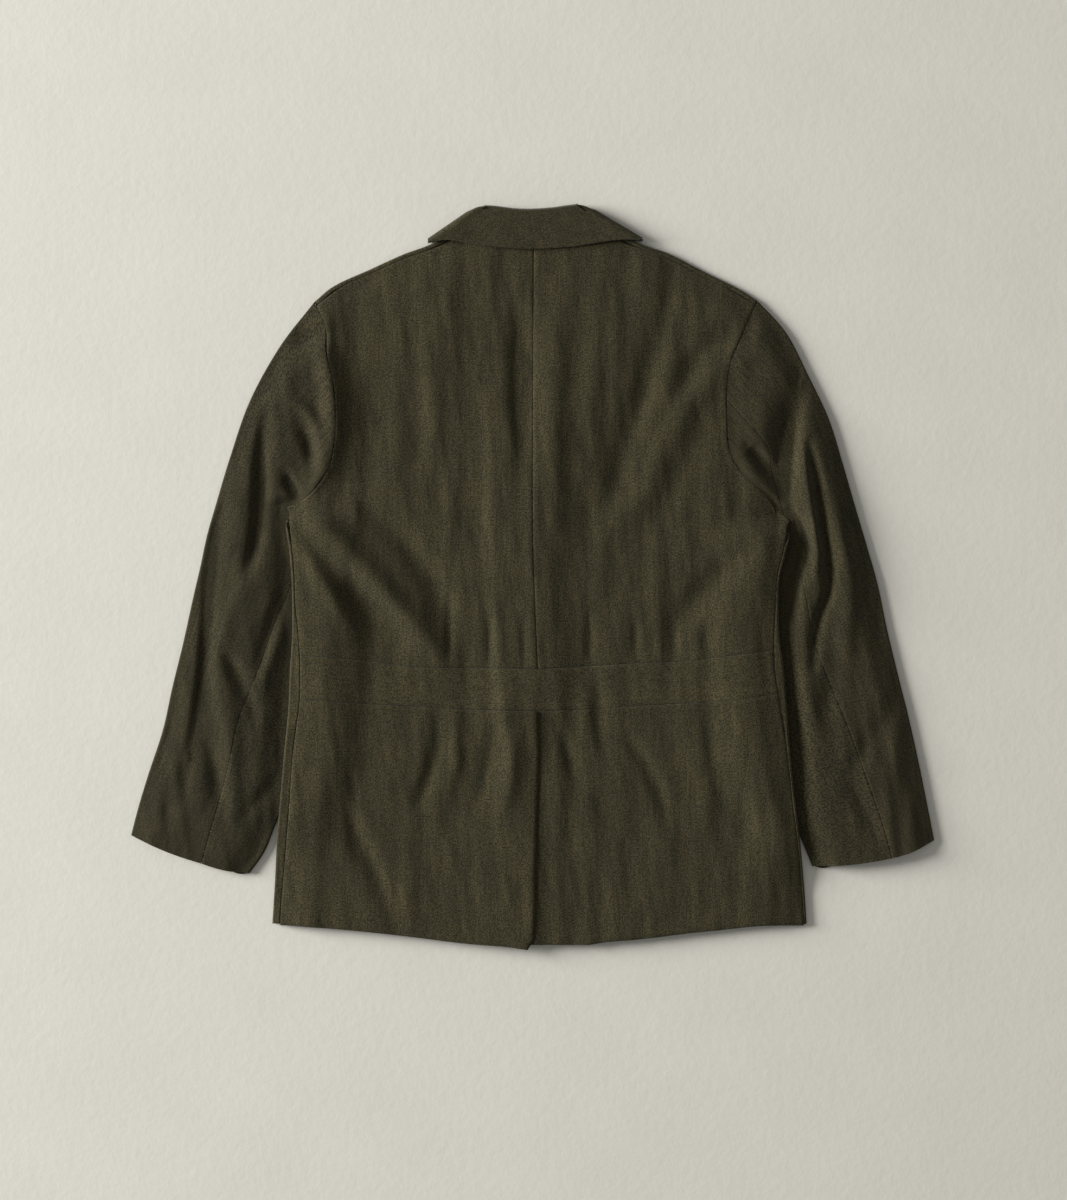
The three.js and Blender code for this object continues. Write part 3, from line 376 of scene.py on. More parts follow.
def nearest(path, x, y):
    """How far each point is from a path, how far along it, from 0 to 1, and whether left of it."""
    best = np.full(np.shape(x), 1e9)
    along = np.zeros(np.shape(x))
    left = np.zeros(np.shape(x), bool)
    for i in range(len(path) - 1):
        (ax, ay), (bx, by) = path[i], path[i + 1]
        dx, dy = bx - ax, by - ay
        t = np.clip(((x - ax) * dx + (y - ay) * dy) / (dx * dx + dy * dy), 0, 1)
        distance = np.hypot(x - ax - t * dx, y - ay - t * dy)
        along = np.where(distance < best, (i + t) / (len(path) - 1), along)
        left = np.where(distance < best, dx * (y - ay) > dy * (x - ax), left)
        best = np.minimum(best, distance)
    return best, along, left


# The creases of the upper layer: a path, its height, below zero for a trough, and its reach. Where
# the cloth is steep on one side, the last value is the reach on the left of the path.
CREASES = [
    # The back, from the shoulders to the waist.
    ([(-226, 296), (-230, 250), (-222, 215), (-218, 165), (-222, 134), (-232, 108)], 2.9, 12, 13),
    ([(-186, 310), (-188, 245), (-184, 190), (-184, 140), (-188, 96)], -1.5, 22, 34),
    ([(-254, 43), (-212, -1), (-178, -45), (-156, -86)], -1.9, 14),
    ([(-246, 74), (-192, 18), (-142, -38), (-100, -90)], 3.1, 14),
    ([(-200, 92), (-150, 46), (-112, -4), (-92, -60)], -2.0, 14),
    ([(-267, 55), (-240, 12), (-214, -30), (-200, -60)], 1.6, 10),
    ([(-128, 300), (-130, 200), (-126, 110)], -0.8, 12),
    ([(-104, 310), (-108, 210), (-110, 120)], 0.8, 11),
    ([(-46, 200), (-44, 100), (-42, 0), (-38, -60), (-30, -150), (-22, -230)], 1.2, 9),
    ([(-14, 302), (-12, 210), (-8, 120)], -2.5, 15),
    ([(27, 310), (24, 160), (22, 60)], 1.0, 14),
    ([(74, 300), (66, 210), (58, 110)], 1.1, 13),
    ([(146, 300), (132, 236), (122, 200), (106, 156), (94, 108), (76, 66)], -1.9, 15, 12),
    ([(153, 288), (150, 215), (156, 182), (142, 140), (124, 96), (92, 56)], 1.3, 12, 17),
    ([(212, 268), (180, 238), (164, 208), (160, 190)], -1.5, 12),
    ([(222, 236), (184, 206), (166, 178), (152, 140)], 0.8, 12, 16),
    ([(193, 188), (175, 142), (156, 98), (124, 52)], -0.5, 14),
    ([(252, 46), (222, 16), (196, -8), (170, -36), (148, -64)], -1.5, 15),
    ([(232, 40), (222, 10), (212, -40), (206, -90)], 1.3, 20),
    # Gathers above the band.
    ([(-91, -20), (-92, -97)], -1.1, 5),
    ([(-48, -40), (-47, -98)], -1.0, 5),
    ([(-10, -40), (-9, -98)], -0.7, 5),
    ([(62, -40), (64, -94)], -0.7, 5),
    ([(112, -50), (113, -94)], -0.6, 5),
    ([(139, -45), (140, -93)], 0.5, 6),
    ([(155, -50), (156, -92)], -0.6, 5),
    ([(191, -50), (193, -90)], -0.5, 6),
    # The band and the skirts.
    ([(60, -92), (71, -130), (72, -162), (79, -192)], -1.3, 9),
    ([(-236, -140), (-238, -172), (-246, -232), (-250, -310)], -1.1, 12),
    ([(-106, -152), (-106, -190), (-116, -224), (-126, -250)], -1.5, 8),
    ([(-206, -254), (-190, -290), (-174, -322), (-158, -368)], -1.6, 11),
    ([(104, -176), (124, -206), (138, -236), (152, -270)], -1.4, 9),
    ([(-20, -170), (-24, -220), (-34, -262)], 1.2, 9),
    ([(-42, -166), (-52, -220), (-62, -258)], -1.0, 9),
    ([(-84, -150), (-84, -200), (-92, -240)], 1.1, 8),
    ([(28, -160), (40, -200), (52, -236)], -0.9, 7),
    ([(180, -160), (186, -220), (190, -270)], 0.9, 10),
    ([(228, -240), (235, -290)], -1.0, 9),
    # The left sleeve.
    ([(-294, 176), (-298, 146), (-300, 91), (-304, 44), (-313, 6)], -3.4, 7, 9),
    ([(-347, 68), (-353, 20), (-357, -27), (-361, -86), (-367, -137), (-376, -188)], -2.6, 6, 17),
    ([(-312, 6), (-331, -35), (-343, -66), (-347, -102), (-341, -137), (-333, -184), (-329, -223),
      (-329, -262)], 1.2, 8, 13),
    ([(-338, -84), (-326, -106), (-306, -152)], -1.8, 8),
    ([(-358, -170), (-348, -223), (-346, -252)], -1.6, 8),
    ([(-277, -20), (-290, -62), (-299, -100)], -1.6, 7),
    ([(-272, -48), (-288, -90), (-302, -134)], 1.0, 8),
    ([(-262, -90), (-276, -137), (-288, -184)], -0.4, 8),
    ([(-276, -218), (-296, -240), (-318, -264)], -0.8, 8),
    ([(-288, 196), (-260, 192), (-241, 172), (-233, 150), (-233, 118), (-248, 88)], 1.6, 7),
    ([(-254, 164), (-246, 144), (-245, 126)], -1.8, 7),
    ([(-272, 114), (-264, 98), (-256, 88)], -2.8, 7),
    ([(-262, 262), (-222, 264)], -2.2, 10),
    ([(-398, -225), (-402, -270)], -1.0, 9),
    ([(-380, -200), (-388, -262)], -1.0, 9),
    # The right sleeve.
    ([(291, 200), (284, 160), (280, 122), (280, 94), (284, 66)], -4.8, 20, 9),
    ([(286, 70), (296, 48), (299, 28), (290, 0), (283, -40)], -4.2, 8),
    ([(302, 146), (311, 104), (318, 60), (325, 16), (325, -14), (316, -41), (310, -64), (308, -98)],
     -2.9, 6),
    ([(296, 150), (300, 104), (306, 66), (311, 26), (310, -4)], 2.0, 6),
    ([(322, 150), (330, 100), (340, 50), (346, -10), (344, -60), (336, -100)], 1.5, 12),
    ([(238, 142), (248, 130), (262, 112)], -3.4, 8),
    ([(306, -60), (330, -76), (327, -124), (316, -156)], -1.0, 11),
    ([(386, -146), (368, -184), (350, -214)], -1.2, 12),
    ([(350, -222), (362, -250), (374, -280)], -1.3, 10),
    ([(388, -150), (384, -205)], -0.8, 9),
    ([(296, -100), (302, -140), (314, -180)], 1.1, 10),
    ([(282, -130), (290, -170), (300, -220)], -1.3, 8),
]
CREASE_DEPTH = 2.3


def creases(x, y):
    """The height that the creases add: each is soft across, and runs out at its ends."""
    total = np.zeros(np.shape(x))
    for points, height, *reaches in CREASES:
        reach = max(reaches)
        path = points
        if len(points) > 2:
            path = curve(points, False)(np.linspace(0, 1, 4 * len(points) - 3))
        low, high = np.min(path, axis=0) - 3 * reach, np.max(path, axis=0) + 3 * reach
        near = (x > low[0]) & (x < high[0]) & (y > low[1]) & (y < high[1])
        if near.any():
            distance, along, left = nearest(path, x[near], y[near])
            reach = np.where(left, reaches[-1], reaches[0])
            ends = np.sin(np.pi * mix(0.06, 0.94, along)) ** 0.7
            total[near] += CREASE_DEPTH * height * ends * np.exp(-((distance / reach) ** 2))
    return total


def unevenness(x, y, width, length, seed):
    """Soft uneven heights from -1 to 1, in patches of that width and length."""
    table = np.random.default_rng(seed).uniform(-1, 1, (97, 97))
    u, v = x / width + 48, y / length + 48
    i, j = np.floor(u).astype(int), np.floor(v).astype(int)
    s, t = smooth(u - i), smooth(v - j)
    lower = mix(table[i % 97, j % 97], table[(i + 1) % 97, j % 97], s)
    upper = mix(table[i % 97, (j + 1) % 97], table[(i + 1) % 97, (j + 1) % 97], s)
    return mix(lower, upper, t)


def ripples(x, y):
    """The slack of the cloth between its creases: long soft waves down the grain, and a fine cockle."""
    return (unevenness(x, y, 15, 85, 1) * 0.85 + unevenness(x + 0.15 * y, y, 8, 38, 2) * 0.38
            + unevenness(x, y, 31, 60, 3) * 0.6)


body_edge = {-1: column(BODY_SECTIONS, 0, 1), 1: column(BODY_SECTIONS, 0, 4)}
side_seam = {-1: column(BODY_SECTIONS, 0, 2), 1: column(BODY_SECTIONS, 0, 3)}
band_top = column(CROSS_SECTIONS, 0, 1)
band_bottom = column(CROSS_SECTIONS, 0, 2)
hem = column(CROSS_SECTIONS, 0, 3)
outline = {}
inner_path = {}
inner_edge = {}
for side, sections in SLEEVE_SECTIONS.items():
    outline[side] = SHOULDER_LINE[side] + [row[0] for row in sections[1:]]
    inner_path[side] = [row[2] for row in sections if row[2]]
    low = SLEEVE_EXIT[side] - INNER_EDGE_MARGIN
    inner_edge[side] = column([p for p in inner_path[side] if low < p[1] < INNER_EDGE_TOP], 1, 0)


def by_side(x, read):
    """Reads the function of the side that each point lies on."""
    return np.where(x < 0, read(-1), read(1))


def sleeve_lift(x, y):
    """How far the body's edge is lifted by the sleeve that lies under it."""

    def lift(side):
        inward = np.abs(inner_edge[side](y)) - SLEEVE_REACH - SLEEVE_RAMP
        start = smooth((SLEEVE_ENTRY[side] - y) / SLEEVE_ENTRY_RAMP)
        end = smooth((y - SLEEVE_EXIT[side] + SLEEVE_EXIT_RAMP) / SLEEVE_EXIT_RAMP)
        return SLEEVE_LIFT[side] * start * end * smooth((np.abs(x) - inward) / SLEEVE_RAMP)

    return by_side(x, lift)


def front_base(x, y):
    """The underside of the fronts: lifted by the sleeves, the buttons and the collar's ends."""
    foot, head = BUTTON_STRIP
    along = smooth((head - y) / BUTTON_STRIP_FADE) * smooth((y - foot) / BUTTON_STRIP_FADE)
    buttons = BUTTON_LIFT * along * (1 - smooth((np.abs(x) - BUTTON_STRIP_HALF) / BUTTON_RAMP))
    beside = smooth(np.maximum(0, np.abs(x) - COLLAR_END_HALF) / COLLAR_END_RAMP)
    collar = (COLLAR_CLOTH + REST_GAP) * smooth((y - COLLAR_END_FOOT) / COLLAR_END_RISE) * (1 - beside)
    return sleeve_lift(x, y) + buttons + collar


def lap_lift(x, y):
    """How far the right front is lifted over the left one's edge."""
    beside = smooth((np.abs(x) - FRONT_LAP - 2) / LAP_RAMP)
    return LAP_LIFT * (1 - beside) * smooth((LAP_TOP - y) / LAP_TOP_FADE)


def inside_body_edge(x, y):
    """How far each point lies inside the edge of the body."""
    return by_side(x, lambda side: np.abs(body_edge[side](y))) - np.abs(x)


def inside_outline(x, y):
    """How far each point lies from the outline of the shoulders and sleeves."""
    return by_side(x, lambda side: nearest(outline[side], x, y)[0])


def body_top(x, y):
    """The top of the body's upper layer."""
    edge = np.minimum(np.maximum(0, inside_body_edge(x, y)), inside_outline(x, y))
    base = front_base(x, y) + EDGE_HEIGHT + BODY_FILL * smooth(edge / EDGE_REACH) + lap_lift(x, y) * 0.5
    base = base + SLACK * smooth(edge / SLACK_REACH) * smooth((SLACK_TOP - y) / SLACK_TOP_RAMP)
    lowest = front_base(x, y) + lap_lift(x, y) + 2 * CLOTH + LAYER_GAP
    return soft_max(base + (creases(x, y) + ripples(x, y)) * smooth(edge / CREASE_MARGIN), lowest, 0.8)


def stations(length, step, near=(0, 0.5, 1.1, 2.0, 3.4)):
    """Grid stations from 0 to 1 along a length, close together at both ends, where the seams are."""
    near = np.array(near)
    middle = np.linspace(5.2, length - 5.2, max(2, round((length - 10.4) / step)))
    return np.concatenate([near, middle, (length - near)[::-1]]) / length


def patch(foot, head, start, end, us, vs):
    """Points in plan of a piece between four lines: two across it and two along it."""
    u, v = us[None, :, None], vs[:, None, None]
    corners = [line(np.array([t]))[0] for line in (foot, head) for t in (0.0, 1.0)]
    flat = mix(mix(corners[0], corners[1], u), mix(corners[2], corners[3], u), v)
    plan = mix(foot(us)[None], head(us)[None], v) + mix(start(vs)[:, None], end(vs)[:, None], u) - flat
    return plan[..., 0], plan[..., 1]


# Where a face of the grid is smaller than this, in square millimetres, the wall runs out.
LEAST_FACE = 0.05


def shell(name, points, facing, thickness, grain, material):
    """A closed wall of cloth under a grid of points, in millimetres, with its grain as a UV map."""
    across = np.gradient(points, axis=1)
    along = np.gradient(points, axis=0)
    normal = np.cross(across, along) * facing
    normal /= np.maximum(np.linalg.norm(normal, axis=-1, keepdims=True), LEAST_FACE)
    rows, columns = points.shape[:2]
    total = rows * columns
    verts = np.concatenate([points.reshape(-1, 3), (points - normal * thickness).reshape(-1, 3)]) * MM
    verts[:, 2] = np.maximum(verts[:, 2], 0)
    n = np.arange(total).reshape(rows, columns)
    outer = np.stack([n[:-1, :-1], n[:-1, 1:], n[1:, 1:], n[1:, :-1]], -1).reshape(-1, 4)
    rim = np.concatenate([n[0, :], n[1:, -1], n[-1, -2::-1], n[-2::-1, 0]])
    ring = np.stack([rim[1:], rim[:-1], rim[:-1] + total, rim[1:] + total], -1)
    faces = np.concatenate([outer, outer[:, ::-1] + total, ring])
    if facing < 0:
        faces = faces[:, ::-1]
    mesh = bpy.data.meshes.new(name)
    mesh.from_pydata(verts.tolist(), [], faces.tolist())
    mesh.materials.append(material)
    uv = mesh.uv_layers.new(name="grain")
    place = np.concatenate([grain.reshape(-1, 2)] * 2)[faces.reshape(-1)] * MM
    uv.data.foreach_set("uv", place.reshape(-1).astype(np.float32))
    mesh.shade_smooth()
    piece = bpy.data.objects.new(name, mesh)
    bpy.context.scene.collection.objects.link(piece)
    return piece


def fit(piece, node):
    """Ties a piece of cloth to the root and hides the part of the model that it replaces."""
    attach(piece, "root")
    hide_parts(node)


SEAM = 0.12
# Borders of the cloth: a dip, its reach, and the height, place and reach of the ridge beside it.
SEAM_EDGE = (-0.42, 0.7, 0.28, 4.5, 3.2)
SHOULDER_EDGE = (-0.3, 0.7, 0.1, 4.0, 3.0)
TURNED_EDGE = (-0.7, 1.2, 0.3, 6.0, 5.0)
TUCKED_TOP = (-0.3, 0.7, 0, 1, 1)
TUCKED_SIDE = (-0.5, 0.7, 0, 1, 1)
armhole = {side: curve(points) for side, points in ARMHOLE.items()}
shoulder_line = {side: curve(points) for side, points in SHOULDER_LINE.items()}


def dress_edges(points, left=None, right=None, bottom=None, top=None):
    """Shapes the borders of a grid: the cloth dips at a seam or a turned edge, beside a low ridge."""
    across = np.linalg.norm(np.diff(points, axis=1), axis=-1)
    along = np.linalg.norm(np.diff(points, axis=0), axis=-1)
    from_left = np.pad(np.cumsum(across, axis=1), ((0, 0), (1, 0)))
    from_bottom = np.pad(np.cumsum(along, axis=0), ((1, 0), (0, 0)))
    away = (from_left, from_left[:, -1:] - from_left, from_bottom, from_bottom[-1:] - from_bottom)
    for kind, distance in zip((left, right, bottom, top), away):
        if kind:
            dip, dip_reach, ridge, ridge_at, ridge_reach = kind
            points[..., 2] += dip * np.exp(-((distance / dip_reach) ** 2))
            points[..., 2] += ridge * np.exp(-(((distance - ridge_at) / ridge_reach) ** 2))
    return points


def over_edge(base, x, y, outward, length):
    """Carries points of the under layer outwards, up round the edge, and on to the upper layer."""
    bottom = base(x, y)
    angle = np.minimum(length / EDGE_RADIUS, np.pi)
    rise = (body_top(x, y) - bottom) / 2
    reach = EDGE_RADIUS * np.sin(angle) - np.maximum(0, length - np.pi * EDGE_RADIUS)
    new_x, new_y = x + outward[0] * reach, y + outward[1] * reach
    turned = bottom + rise * (1 - np.cos(angle))
    return np.stack([new_x, new_y, np.where(angle < np.pi, turned, body_top(new_x, new_y))], -1)


def front(side):
    """One front: it lies on the table, and turns up over its side and shoulder."""
    lap = -side * FRONT_LAP
    fold_columns, fold_rows = 0.3, 0.22
    armpit_y = ARMHOLE[side][-1][1]

    def base(x, y):
        return front_base(x, y) + (lap_lift(x, y) if side > 0 else 0)

    def hem_line(x):
        return np.maximum(hem(x), RIGHT_VENT_HEM) + HEM_INSET

    def edge_x(y):
        return float(body_edge[side](y)) - side * EDGE_RADIUS

    hole = shifted(stretch(armhole[side], SHOULDER_LINE[side][-1], ARMHOLE[side][-2]), -side * HOLE_INSET)
    rim = shifted(shoulder_line[side], -side * EDGE_RADIUS)
    hem_start = float(hem_line(edge_x(-380)))
    sides = [hem_start, -340, -290, -240, -190, -145, -100, -65, -35, 0, 30, armpit_y - 12]
    outer = curve([(edge_x(y), y) for y in sides]
                  + [tuple(hole(t)) for t in (0.98, 0.84, 0.7, 0.55, 0.4, 0.25, 0.1)] + [tuple(rim(0.998))])
    centre = curve([(lap, float(hem_line(lap))), (lap, -200), (lap, 0), (lap, NECK_DROP_Y - 50),
                    (mix(lap, side * 40, 0.4), NECK_DROP_Y + 20), (side * NECK_HALF, NECK_FOOT),
                    tuple(rim(0.0))])

    def foot(t):
        x = mix(lap, outer(np.array([0.0]))[0, 0], t)
        return np.stack([x, hem_line(x)], -1)

    us = np.concatenate([np.linspace(0, 0.86, 60), np.linspace(0.865, 1, 40)]) * (1 - fold_columns)
    us = np.concatenate([us, np.linspace(1 - fold_columns, 1, 22)[1:]])
    vs = np.concatenate([np.linspace(0, 1, 230) * (1 - fold_rows), np.linspace(1 - fold_rows, 1, 18)[1:]])
    s, t = np.minimum(1, us / (1 - fold_columns)), np.minimum(1, vs / (1 - fold_rows))
    x, y = patch(foot, lambda q: rim(0.998 * q), centre, outer, s, t)
    points = np.stack([x, y, base(x, y)], -1)

    seam_inside = np.abs(body_edge[side](y) - side_seam[side](y)) - SEAM
    full = np.pi * EDGE_RADIUS + np.maximum(0.2, seam_inside - EDGE_RADIUS)
    share = np.maximum(0, us - 1 + fold_columns)[None] / fold_columns
    side_length = share * mix(0.8, full, smooth((armpit_y - 8 - y) / 18))
    turned = over_edge(base, x, y, (side, 0), side_length)
    points = np.where((us > 1 - fold_columns)[None, :, None], turned, points)

    along = direction(shoulder_line[side], 0.998 * s, 0.02)
    shoulder_length = np.maximum(0, vs - 1 + fold_rows)[:, None] / fold_rows
    shoulder_length = shoulder_length * (np.pi * EDGE_RADIUS + SHOULDER_SEAM - SEAM - EDGE_RADIUS)
    turned = over_edge(base, x, y, (-side * along[None, :, 1], side * along[None, :, 0]), shoulder_length)
    points = np.where((vs > 1 - fold_rows)[:, None, None], turned, points)

    name = "left_front" if side < 0 else "right_front"
    points = dress_edges(points, top=TUCKED_TOP, right=TUCKED_SIDE)
    grain = np.stack([x + side * side_length, y + shoulder_length], -1)
    piece = shell(name, points, -side, CLOTH, grain, body_twill)
    fit(piece, "front_left" if side < 0 else "front_right")


front(-1)
front(1)

# The three buttons of the front. Real horn, turned with a raised rim round a dished face, and sewn
# to the right front; they lie under the lap, face down.
BUTTON_PLACES = (120, 15, -90)
BUTTON_RADIUS = 10
BUTTON_HEIGHT = 3
BUTTON_EDGE = 0.9
DISH_DEPTH = 0.9
DISH_RADIUS = 6.4
RIM_RADIUS = 7.4
BUTTON_SIDES = 40
HORN_DARK = (0.012, 0.007, 0.004, 1)
HORN_LIGHT = (0.085, 0.052, 0.028, 1)
HORN_CLOUD_SIZE = (0.004, 0.009, 0.004)
horn = Finish("horn")
horn_place = horn.node("ShaderNodeTexCoord", {}, {}, 3)
horn_cloud = horn.noise(horn_place, HORN_CLOUD_SIZE, 4.0)
horn_colour = horn.blend(horn.spread(horn_cloud, 0.35, 0.68), HORN_DARK, HORN_LIGHT)
horn_bump = horn.node("ShaderNodeBump", {}, {"Strength": 0.2, "Distance": 0.0002, "Height": horn_cloud})
button_horn = horn.surface(horn_colour, 0.36, horn_bump, 0.0)


def button(number, y):
    """One button, as rings round its axis, from the middle of its face to the middle of its back."""
    flat = BUTTON_RADIUS - BUTTON_EDGE
    rings = [
        (0, DISH_DEPTH),
        (DISH_RADIUS, DISH_DEPTH),
        (RIM_RADIUS, 0),
        (flat, 0),
        (BUTTON_RADIUS, BUTTON_EDGE),
        (BUTTON_RADIUS, BUTTON_HEIGHT - BUTTON_EDGE),
        (flat, BUTTON_HEIGHT),
        (0, BUTTON_HEIGHT),
    ]
    verts = []
    faces = []
    for radius, height in rings:
        for i in range(BUTTON_SIDES):
            angle = 2 * math.pi * i / BUTTON_SIDES
            x = radius * math.cos(angle)
            verts.append((x * MM, (y + radius * math.sin(angle)) * MM, height * MM))
    for ring in range(len(rings) - 1):
        for i in range(BUTTON_SIDES):
            a, b = ring * BUTTON_SIDES + i, ring * BUTTON_SIDES + (i + 1) % BUTTON_SIDES
            faces.append((a, a + BUTTON_SIDES, b + BUTTON_SIDES, b))
    mesh = bpy.data.meshes.new(f"horn_button_{number}")
    mesh.from_pydata(verts, [], faces)
    mesh.materials.append(button_horn)
    mesh.shade_smooth()
    piece = bpy.data.objects.new(f"horn_button_{number}", mesh)
    bpy.context.scene.collection.objects.link(piece)
    return piece


for number, place in enumerate(BUTTON_PLACES, 1):
    made = button(number, place)
    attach(made, "root")
    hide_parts(f"button_{number}")

# The sleeves: two pieces each, sewn down the elbow and the forearm and set into the armhole with a
# little fullness. They lie flat, their inner edges under the sides of the body, and end in a plain
# turned cuff.
ARMPIT_BLEND = 8
ARMHOLE_BLEND = 20
ARMHOLE_BLEND_FOOT = 120
ARMHOLE_BLEND_RAMP = 70
ARMPIT_CLEAR = 26
ARMPIT_RISE = 25
OPEN_EDGE = 30
OPEN_EDGE_RAMP = 40
BODY_MARGIN = 10
CUFF_BOW = 2.4
CUFF_START = 0.85
HEAD_REACH = 0.34
SLEEVE_LENGTH = 610
GRAIN_LENGTH = 620
GRAIN_WIDTH = 2.1
SLEEVE_SLACK = {-1: 4.6, 1: 7.0}
SLEEVE_EDGE = (-0.25, 0.7, 0.1, 4.5, 3.2)
# The sleeves' twills are darker copies of the body's twill. The darkening is painted shade, deeper on the
# left sleeve than on the right.
sleeve_twill_in_painted_shade = {
    -1: twill("twill of the left sleeve in painted shade", BODY_SLUB, 0.77),
    1: twill("twill of the right sleeve in painted shade", BODY_SLUB, 0.85),
}


def sleeve_top(x, y):
    """The top of a sleeve: it meets the body at the armhole, and is flat where the body lies on it."""
    hole = by_side(x, lambda side: nearest(ARMHOLE[side], x, y)[0])
    armpit = by_side(x, lambda side: ARMHOLE[side][-1][1])
    above = hole + ARMPIT_CLEAR * smooth((y - armpit) / ARMPIT_RISE)
    clear = np.where(y > armpit, above, np.maximum(0, -inside_body_edge(x, y)))
    inner = by_side(x, lambda side: nearest(inner_path[side], x, y)[0])
    inner = inner + OPEN_EDGE * smooth((y - armpit + OPEN_EDGE_RAMP / 2) / OPEN_EDGE_RAMP)
    edge = np.minimum(inside_outline(x, y), inner)
    own = EDGE_HEIGHT + by_side(x, SLEEVE_SLACK.get) * smooth(np.minimum(edge, clear) / EDGE_REACH)
    folds = creases(x, y) + ripples(x, y)
    own = own + folds * smooth(clear / BODY_MARGIN) * smooth(edge / CREASE_MARGIN)
    lifted = body_top(x, y) - sleeve_lift(x, y)
    blend = mix(ARMPIT_BLEND, ARMHOLE_BLEND, smooth((y - ARMHOLE_BLEND_FOOT) / ARMHOLE_BLEND_RAMP))
    return soft_max(mix(lifted, own, smooth(hole / blend)), 2 * CLOTH + REST_GAP, 0.6)


def sleeve_half(name, node, side, fold_index, first_row, head, facing, size, area):
    """Half a sleeve: on top from the elbow seam to a fold, round it, and below to the forearm seam."""
    sections = SLEEVE_SECTIONS[side]
    sections = [(row[0], row[1], row[2] or row[1], row[3]) for row in sections]
    last = len(sections) - 1
    vs = stations(SLEEVE_LENGTH, 2.3)
    at = mix(first_row / last, 1, vs)
    seam, turn_line, fore = (curve([row[k] for row in sections], False)(at) for k in (1, fold_index, 3))
    on_top, in_fold = 0.46, 0.16
    fold_end = on_top + in_fold
    top_us = np.concatenate([[0, 0.005, 0.011, 0.021, 0.037], np.linspace(0.06, 1, 36)]) * on_top
    us = np.concatenate([top_us, np.linspace(on_top, fold_end, 11)[1:], np.linspace(fold_end, 1, 16)[1:]])
    b, o, f = seam[:, None], turn_line[:, None], fore[:, None]
    span = np.linalg.norm(o - b, axis=-1, keepdims=True)
    out = (o - b) / span
    radius = np.minimum(EDGE_RADIUS, span * 0.4)
    turn = o - out * radius
    start = SEAM / span[..., 0]
    u = us[None]
    s_top = mix(start, 1, np.clip(u / on_top, 0, 1))
    s_under = mix(1, start, np.clip((u - fold_end) / (1 - fold_end), 0, 1))

    def bow(s):
        cuff = -CUFF_BOW * np.sin(np.pi * s) * smooth((vs[:, None] - CUFF_START) / (1 - CUFF_START))
        bent = np.stack([np.zeros(s.shape), cuff], -1)
        if head:
            ends = head(np.array([0.0, 1.0]))
            fade = (np.clip(1 - vs[:, None] / HEAD_REACH, 0, 1) ** 2)[..., None]
            bent = bent + (head(s) - mix(ends[0], ends[1], s[..., None])) * fade
        return bent

    top = mix(b, turn, s_top[..., None]) + bow(s_top)
    below = mix(f, turn, s_under[..., None]) + bow(s_under)
    angle = np.pi * np.clip((u - on_top) / in_fold, 0, 1)
    reach = (radius[..., 0] * np.sin(angle))[..., None]
    turn_height = sleeve_top(turn[..., 0], turn[..., 1])
    fold = np.concatenate([turn + out * reach, (turn_height * (1 + np.cos(angle)) / 2)[..., None]], -1)
    upper = np.concatenate([top, sleeve_top(top[..., 0], top[..., 1])[..., None]], -1)
    lower = np.concatenate([below, np.zeros(below.shape[:2] + (1,))], -1)
    turned = np.where((u < fold_end)[..., None], fold, lower)
    points = np.where((u <= on_top)[..., None], upper, turned)
    points = dress_edges(points, left=SLEEVE_EDGE)
    points[..., 2] = np.where(u <= on_top, points[..., 2], turned[..., 2])
    width = np.broadcast_to(span[..., 0].mean() * GRAIN_WIDTH * u, points.shape[:2])
    grain = np.stack([width, np.broadcast_to(-GRAIN_LENGTH * at[:, None], points.shape[:2])], -1)
    piece = shell(name, points, facing, CLOTH, grain, sleeve_twill_in_painted_shade[side])
    fit(piece, node)


TOP_CUT = ((0.24, 0.66), 0.115)
UNDER_CUT = {-1: ((0.10, 0.37), 0.029), 1: ((0.14, 0.56), 0.045)}

for side, word in ((-1, "left"), (1, "right")):
    rows = SLEEVE_SECTIONS[side]
    first = next(i for i, row in enumerate(rows) if row[2])
    outer_head = stretch(armhole[side], rows[0][1], rows[0][0])
    inner_head = stretch(armhole[side], rows[0][1], rows[0][2]) if first == 0 else None
    sleeve_half(f"{word}_sleeve_top", f"sleeve_{word}_top", side, 0, 0, outer_head, -side, *TOP_CUT)
    under_name, under_node = f"{word}_sleeve_under", f"sleeve_{word}_under"
    sleeve_half(under_name, under_node, side, 2, first, inner_head, side, *UNDER_CUT[side])

# The upper back: two pieces, joined down the centre by a seam that lies a little to the right, and
# sewn to the fronts at the shoulders and sides and to the sleeves at the armholes.
NECK_TOP = 372
CENTRE_SEAM = [(1.1, NECK_TOP), (0, 195), (0, 60), (2.2, -25), (5.5, -101)]
NECK_EASE = 2
NECK_TURN = 38
BACK_GRID = (265, 465)
GRID_STEP = 2.2
seam_x = column(CENTRE_SEAM, 1, 0)


